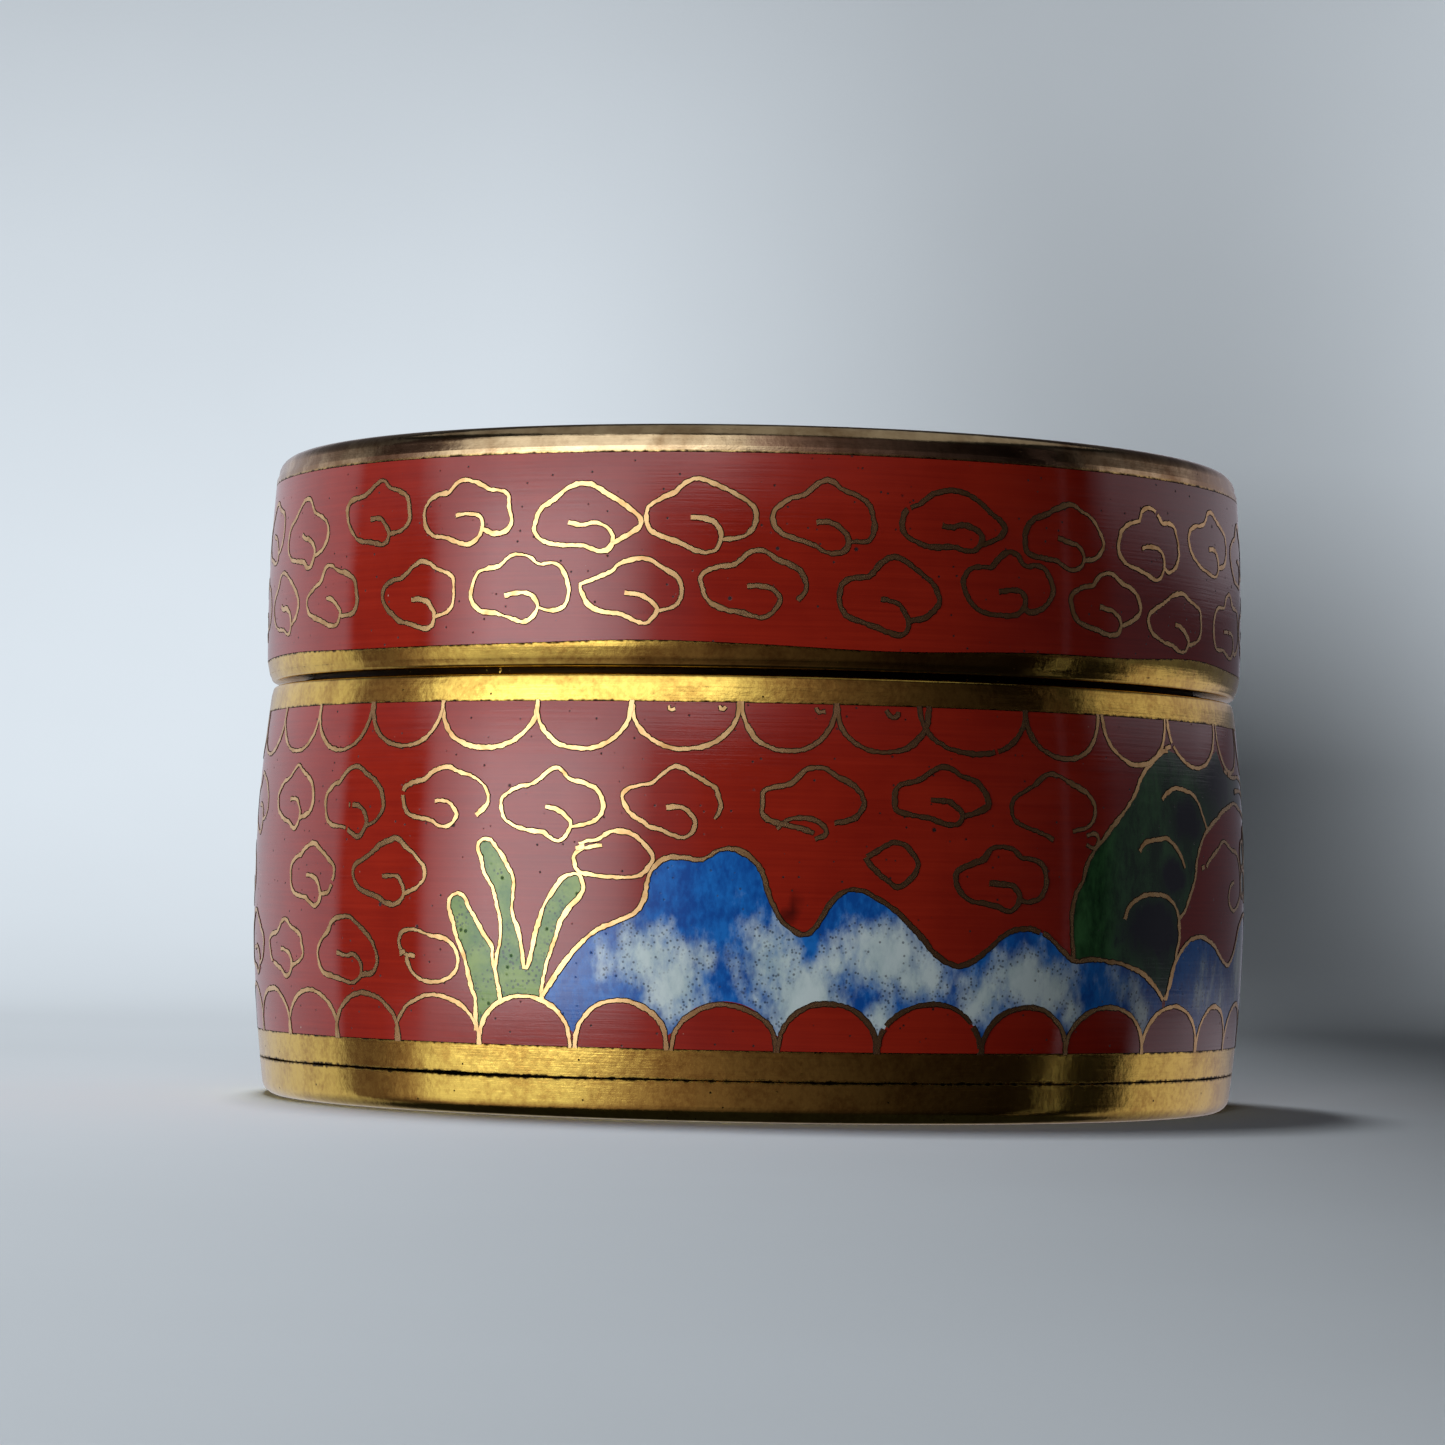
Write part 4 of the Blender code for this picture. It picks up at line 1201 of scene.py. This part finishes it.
def lay_enamel(border, cells, pieces, lay, colours):
    """Cuts one sheet of enamel into its pieces."""
    points, triangles = cut_sheet(border, cells)
    for owner, name, slot_name, finish, fields, nodes in pieces:
        faces = [face for face, held_by in triangles if held_by == owner]
        mesh = enamel_mesh(name, points, faces, lay, finish_of(finish, colours), fields)
        new_object(name, mesh, slot_name, *nodes)


class ENAMELBOX_OT_body_enamel(bpy.types.Operator):
    """Lay the red field of the body and the picture's cells in it"""
    bl_idname = "enamelbox.body_enamel"
    bl_label = "Body Enamel"

    def execute(self, context):
        border = strip_outline(lambda _: BODY_ENAMEL[0] + ENAMEL_SEAM, BODY_ENAMEL[1] - ENAMEL_SEAM)
        lay_enamel(border, Drawing().cells, BODY_PIECES, on_body, context.scene.enamel_box_colours)
        return {"FINISHED"}


class ENAMELBOX_OT_lid_enamel(bpy.types.Operator):
    """Lay the red enamel round the lid"""
    bl_idname = "enamelbox.lid_enamel"
    bl_label = "Lid Enamel"

    def execute(self, context):
        wave = context.scene.enamel_box_sizes.border_wave / MM
        border = strip_outline(lambda a: lid_border(a, wave) + ENAMEL_SEAM, LID_ENAMEL[1] - ENAMEL_SEAM)
        lay_enamel(border, {}, LID_PIECES, on_lid, context.scene.enamel_box_colours)
        return {"FINISHED"}


class ENAMELBOX_OT_crown_enamel(bpy.types.Operator):
    """Lay the red dome of the lid with its blossom"""
    bl_idname = "enamelbox.crown_enamel"
    bl_label = "Crown Enamel"

    def execute(self, context):
        count = round(math.tau * CROWN_RADIUS / SHEET_STEP)
        border = [crown_spot(360 * k / count, CROWN_RADIUS - ENAMEL_SEAM) for k in range(count)]
        lay_enamel(border, crown_drawing()[0], CROWN_PIECES, on_crown, context.scene.enamel_box_colours)
        return {"FINISHED"}


class ENAMELBOX_OT_wires(bpy.types.Operator):
    """Bend the gilt wires between and in the cells"""
    bl_idname = "enamelbox.wires"
    bl_label = "Wires"

    def execute(self, context):
        sizes, colours = context.scene.enamel_box_sizes, context.scene.enamel_box_colours
        surfaces = (finish_of(gilt_wire, colours), finish_of(wire_tarnish, colours))
        for name, lines, lay in (("body_wires", Drawing().wires, on_body), ("lid_wires", lid_lines(), on_lid),
                                 ("crown_wires", crown_drawing()[1], on_crown)):
            new_object(name, wire_mesh(name, lines, lay, sizes, surfaces), "gilt_metal")
        return {"FINISHED"}


# The studio: azimuths in degrees from the camera towards +X, sizes in metres
CAMERA_SHIFT_X = -1.75 * MM
CAMERA_HEIGHT = 11.42 * MM
CAMERA_PITCH, CAMERA_ROLL = 2.35, 1.12
BOX_MIDDLE = 20 * MM           # height that the lamps point at
TENT_RADIUS = 0.45
TENT_HEIGHT = 0.40             # over and under the box's middle
TENT_COLUMNS, TENT_ROWS = 480, 60
PAPER_COVE = 0.16              # radius of the curve from floor to backdrop
PAPER_HEIGHT = 0.6
PAPER_SPAN = (48.0, 312.0)     # where the floor curves up to a backdrop
PAPER_STEPS, FLAT_STEPS, COVE_STEPS = 120, 6, 16
PAPER_FRONT = 1.3              # how far the floor runs out in front, behind the camera
# The light tent's wall, as radiance by azimuth: pale card behind, and in front a window that fades into a
# dim room. The foot mirrors the low part, the enamel the middle and the turned shoulders the high part.
TENT_LOW = ((-180, 0.44), (-160, 0.58), (-125, 0.64), (-107, 0.6), (-103, 0.14), (-90, 0.14), (-80, 0.5),
    (-75, 0.9), (-60, 0.93), (-50, 0.92), (-40, 0.8), (-30, 0.42), (-20, 0.26), (-10, 0.18), (0, 0.11),
    (10, 0.08), (20, 0.05), (30, 0.031), (40, 0.018), (60, 0.006), (94, 0.006), (99, 0.5), (120, 0.56),
    (140, 0.5), (160, 0.28), (180, 0.44))
TENT_MIDDLE = ((-180, 0.42), (-160, 0.52), (-140, 0.7), (-125, 0.76), (-107, 0.74), (-103, 0.08),
    (-79, 0.08), (-75, 1.2), (-70, 2.0), (-60, 3.8), (-50, 3.9), (-40, 3.7), (-30, 2.4), (-22, 0.5),
    (-10, 0.1), (0, 0.05), (20, 0.03), (84, 0.02), (90, 0.1), (105, 0.1), (120, 0.07), (140, 0.09),
    (160, 0.12), (180, 0.42))
TENT_HIGH = ((-180, 0.45), (-160, 0.62), (-140, 0.73), (-125, 0.72), (-107, 0.66), (-102, 0.2), (-92, 0.28),
    (-84, 0.42), (-76, 1.4), (-60, 1.9), (-40, 2.0), (-30, 2.1), (-20, 2.1), (-10, 2.0), (0, 0.8),
    (10, 0.28), (20, 0.13), (30, 0.08), (40, 0.034), (60, 0.006), (80, 0.006), (88, 0.52), (110, 0.56),
    (140, 0.46), (160, 0.32), (180, 0.45))
TENT_STRIP = (72.8, 73.6, 1.0, 0.3)    # a gap at the tent's seam: its two ends, its radiance low and high
TENT_DIM = ((0.0, 1.0), (0.2, 1.0), (0.8, 0.0), (9.0, 0.0))   # where the room's dim side turns warm
# The wall's whole brightness by elevation, and the shares of the middle and high patterns by the elevation
# that a surface mirrors when it is turned to the front: one turned aside mirrors a lower place.
TENT_RISE = ((-42, 0.3), (-30, 0.6), (-20, 1.0), (20, 1.0), (30, 0.6), (42, 0.5))
TENT_CARD_RISE = ((-42, 1.0), (14, 1.0), (24, 0.26), (42, 0.15))
TENT_MID_SHARE = ((-400, 0.0), (-13, 0.0), (-9, 1.0), (11.5, 1.0), (15.5, 0.0), (400, 0.0))
TENT_HIGH_SHARE = ((-400, 0.0), (11.5, 0.0), (15.5, 1.0), (400, 1.0))
LEAST_LEVEL_SHARE = 0.45
CARDS = 78                     # azimuth beyond which the wall is card, on both sides
LEFT_CARD = -104
# Tints of the window, and how much of each colour goes where it is dim, and the cards' tints
WINDOW_TINT, DIM_LOSS = (1.0, 1.03, 1.10), (0.0, 0.30, 0.25)
LEFT_TINT = (1.0, 1.0, 1.1)
RIGHT_TINT, RIGHT_GAIN = (1.0, 0.93, 1.03), (0.0, 0.07, 0.15)
# Lamps on the box and on the paper: azimuth, distance, height, width, height of the lamp, radiance
BOX_LAMPS = {"daylight": (-47, 0.6, 0.12, 0.3, 0.3, 8.5), "room_light": (75, 0.6, 0.15, 0.4, 0.4, 0.65),
             "top_light": (-60, 0.1, 0.8, 0.15, 0.15, 20.0), "back_light": (176, 0.6, 0.3, 0.4, 0.4, 2.6)}
DIM_CEILING = (0, 0.01, 0.7, 1.0, 1.0, 0.25)
BACKDROP_LAMP = (-9, 0.62, 0.02, 0.15, 0.08, 152.0)
CEILING_LAMP = (-160, 0.29, 1.2, 0.3, 0.3, 46.0)
ROOM_RADIANCE = 0.02
FLAG = (-0.013, 0.062, -0.16, 0.335, 0.30)   # a dark board's edges in X and Y, and its height


def between(value, table):
    """A value read off a table of (place, value) pairs, on a straight line from one to the next."""
    for (low, first), (high, second) in zip(table, table[1:]):
        if low <= value <= high:
            return first + (second - first) * (value - low) / (high - low)
    raise ValueError("the table doesn't reach this place")


def tent_glow(azimuth, rise):
    """The wall's colour, as linear radiance, at an azimuth and an elevation."""
    level = rise / max(LEAST_LEVEL_SHARE, math.cos(math.radians(azimuth / 2)))
    middle, high = between(level, TENT_MID_SHARE), between(level, TENT_HIGH_SHARE)
    glow = (between(azimuth, TENT_LOW) * (1 - middle - high) + between(azimuth, TENT_MIDDLE) * middle
            + between(azimuth, TENT_HIGH) * high)
    first, last, strip_low, strip_high = TENT_STRIP
    if first <= azimuth <= last:
        glow = strip_low + (strip_high - strip_low) * (middle + high)
    glow *= between(rise, TENT_RISE)
    if abs(azimuth) > CARDS:
        glow *= between(rise, TENT_CARD_RISE)
    dim = between(glow, TENT_DIM)
    tint = [full - dim * lost for full, lost in zip(WINDOW_TINT, DIM_LOSS)]
    if azimuth > CARDS:
        tint = [full + middle * gained for full, gained in zip(RIGHT_TINT, RIGHT_GAIN)]
    elif azimuth < LEFT_CARD:
        tint = LEFT_TINT
    return [glow * share for share in tint]


def light_tent():
    """A wall of light round the box, brightest at the window, which the box mirrors."""
    corners, glows, faces = [], [], []
    for k in range(TENT_COLUMNS + 1):
        azimuth = -180 + 360 * k / TENT_COLUMNS
        outward = outward_at(math.radians(azimuth)) * TENT_RADIUS
        for j in range(TENT_ROWS + 1):
            height = -TENT_HEIGHT + 2 * TENT_HEIGHT * j / TENT_ROWS
            corners.append((outward.x, outward.y, height + BOX_MIDDLE))
            glows += tent_glow(azimuth, math.degrees(math.atan2(height, TENT_RADIUS))) + [1.0]
    for k in range(TENT_COLUMNS):
        for j in range(TENT_ROWS):
            low = k * (TENT_ROWS + 1) + j
            faces.append((low, low + 1, low + TENT_ROWS + 2, low + TENT_ROWS + 1))
    mesh = bpy.data.meshes.new("light_tent")
    mesh.from_pydata(corners, [], faces)
    mesh.color_attributes.new("glow", "FLOAT_COLOR", "POINT").data.foreach_set("color", glows)
    cloth = bpy.data.materials.new("lit cloth")
    cloth.use_nodes = True
    tree = cloth.node_tree
    tree.nodes.remove(tree.nodes["Principled BSDF"])
    colour = add(tree, "ShaderNodeAttribute", attribute_name="glow").outputs["Color"]
    lamp = add(tree, "ShaderNodeEmission", {"Color": colour}).outputs["Emission"]
    tree.links.new(lamp, tree.nodes["Material Output"].inputs["Surface"])
    mesh.materials.append(cloth)
    tent = linked_object("light_tent", mesh)
    tent.visible_camera = tent.visible_diffuse = tent.visible_shadow = False
    return tent


def panel(name, azimuth, distance, height, width, tall, radiance):
    """A soft light at an azimuth, turned to the box, with a radiance for its brightness."""
    light = bpy.data.lights.new(name, "AREA")
    light.shape = "RECTANGLE"
    light.size, light.size_y = width, tall
    light.energy = radiance * math.pi * width * tall
    stand = linked_object(name, light)
    stand.location = outward_at(math.radians(azimuth)) * distance + Vector((0, 0, height))
    aim = stand.location - Vector((0, 0, BOX_MIDDLE))
    stand.rotation_euler = aim.to_track_quat("Z", "Y").to_euler()
    stand.visible_camera = stand.visible_glossy = False
    return stand


def light_group(name, members, state):
    """A group that a light falls on alone, or that it passes by."""
    group = bpy.data.collections.new(name)
    for member in members:
        group.objects.link(member)
    for member in group.collection_objects:
        member.light_linking.link_state = state
    return group


def shade_board():
    """A dark board over the paper, which keeps the ceiling's light off the side away from the window."""
    left, right, front, back, height = FLAG
    mesh = bpy.data.meshes.new("flag")
    mesh.from_pydata([(left, front, height), (right, front, height), (right, back, height),
                      (left, back, height)], [], [(0, 1, 2, 3)])
    board = linked_object("flag", mesh)
    board.visible_camera = board.visible_glossy = board.visible_diffuse = board.visible_transmission = False
    return board


def paper_sheet(radius, surface):
    """The floor, which curves up to a backdrop behind the box."""
    mesh = bmesh.new()
    columns = []
    flat = radius - PAPER_COVE
    cove = [math.radians(90 * n / COVE_STEPS) for n in range(1, COVE_STEPS + 1)]
    for k in range(PAPER_STEPS + 1):
        azimuth = 360 * k / PAPER_STEPS
        profile = [(flat * n / FLAT_STEPS, 0.0) for n in range(FLAT_STEPS + 1)]
        if PAPER_SPAN[0] <= azimuth <= PAPER_SPAN[1]:
            profile += [(flat + PAPER_COVE * math.sin(t), PAPER_COVE * (1 - math.cos(t))) for t in cove]
            profile.append((radius, PAPER_HEIGHT))
        else:
            steps = COVE_STEPS + 1
            profile += [(flat + (PAPER_FRONT - flat) * n / steps, 0.0) for n in range(1, steps + 1)]
        outward = outward_at(math.radians(azimuth))
        columns.append([mesh.verts.new(outward * r + Vector((0, 0, z))) for r, z in profile])
    for column, following in zip(columns, columns[1:]):
        for k in range(len(column) - 1):
            mesh.faces.new((column[k], following[k], following[k + 1], column[k + 1]))
    bmesh.ops.remove_doubles(mesh, verts=mesh.verts, dist=1e-6)
    data = bpy.data.meshes.new("paper")
    mesh.to_mesh(data)
    mesh.free()
    data.materials.append(surface)
    data.shade_smooth()
    sheet = linked_object("paper", data)
    sheet.visible_glossy = sheet.visible_diffuse = sheet.visible_shadow = False
    return sheet


class ENAMELBOX_OT_stage(bpy.types.Operator):
    """Set up the camera, the paper and the soft lights"""
    bl_idname = "enamelbox.stage"
    bl_label = "Stage"

    def execute(self, context):
        scene = context.scene
        stage = scene.enamel_box_stage
        self.place_camera(scene, stage)
        paper = paper_sheet(stage.sweep_radius, finish_of(stage_paper, stage))
        tent = light_tent()
        flag = shade_board()
        box_only = light_group("not on paper", [paper], "EXCLUDE")
        paper_only = light_group("on paper", [paper], "INCLUDE")
        past_flag = light_group("past the flag", [flag], "EXCLUDE")
        dim_ceiling = panel("dim_ceiling", *DIM_CEILING)
        dim_ceiling.visible_glossy = True
        dim_ceiling.visible_diffuse = False
        on_box = [tent, dim_ceiling] + [panel(name, *lamp) for name, lamp in BOX_LAMPS.items()]
        links = [(source, box_only, past_flag) for source in on_box]
        links.append((panel("backdrop_light", *BACKDROP_LAMP), paper_only, past_flag))
        links.append((panel("ceiling_light", *CEILING_LAMP), paper_only, None))
        for source, receivers, blockers in links:
            source.light_linking.receiver_collection = receivers
            source.light_linking.blocker_collection = blockers
        world = bpy.data.worlds.new("dim room")
        world.use_nodes = True
        background = world.node_tree.nodes["Background"]
        background.inputs["Color"].default_value = paint("B4BCC8")
        background.inputs["Strength"].default_value = ROOM_RADIANCE
        scene.world = world
        scene.view_settings.view_transform = "Standard"
        return {"FINISHED"}

    def place_camera(self, scene, stage):
        lens = bpy.data.cameras.new("camera")
        lens.sensor_width = 36.0
        lens.lens = stage.focal_length
        lens.clip_start, lens.clip_end = 0.01, 10.0
        camera = linked_object("camera", lens)
        tilt = Matrix.Rotation(math.radians(90 + CAMERA_PITCH), 4, "X")
        roll = Matrix.Rotation(math.radians(CAMERA_ROLL), 4, "Z")
        stand = Matrix.Translation((CAMERA_SHIFT_X, -stage.camera_distance, CAMERA_HEIGHT))
        camera.matrix_world = stand @ tilt @ roll
        scene.camera = camera


class ENAMELBOX_PT_panel(bpy.types.Panel):
    """The box's pieces, its sizes and its colours"""
    bl_idname = "ENAMELBOX_PT_panel"
    bl_label = "Enamel Box"
    bl_space_type = "VIEW_3D"
    bl_region_type = "UI"
    bl_category = "Enamel Box"

    def draw(self, context):
        for made in OPERATORS:
            self.layout.operator(made.bl_idname)
        for group in (context.scene.enamel_box_sizes, context.scene.enamel_box_colours,
                      context.scene.enamel_box_stage):
            box = self.layout.box()
            for name in group.bl_rna.properties.keys():
                if name not in ("rna_type", "name"):
                    box.prop(group, name)


OPERATORS = (ENAMELBOX_OT_metal, ENAMELBOX_OT_body_enamel, ENAMELBOX_OT_lid_enamel,
             ENAMELBOX_OT_crown_enamel, ENAMELBOX_OT_wires, ENAMELBOX_OT_stage)
GROUPS = {"enamel_box_sizes": EnamelBoxSizes, "enamel_box_colours": EnamelBoxColours,
          "enamel_box_stage": EnamelBoxStage}


def register():
    for made in (*GROUPS.values(), *OPERATORS, ENAMELBOX_PT_panel):
        bpy.utils.register_class(made)
    for name, group in GROUPS.items():
        setattr(bpy.types.Scene, name, bpy.props.PointerProperty(type=group))


def unregister():
    for name in GROUPS:
        delattr(bpy.types.Scene, name)
    for made in reversed((*GROUPS.values(), *OPERATORS, ENAMELBOX_PT_panel)):
        bpy.utils.unregister_class(made)


def main():
    register()
    bpy.ops.enamelbox.metal()
    bpy.ops.enamelbox.body_enamel()
    bpy.ops.enamelbox.lid_enamel()
    bpy.ops.enamelbox.crown_enamel()
    bpy.ops.enamelbox.wires()
    bpy.ops.enamelbox.stage()


if __name__ == "__main__":
    main()
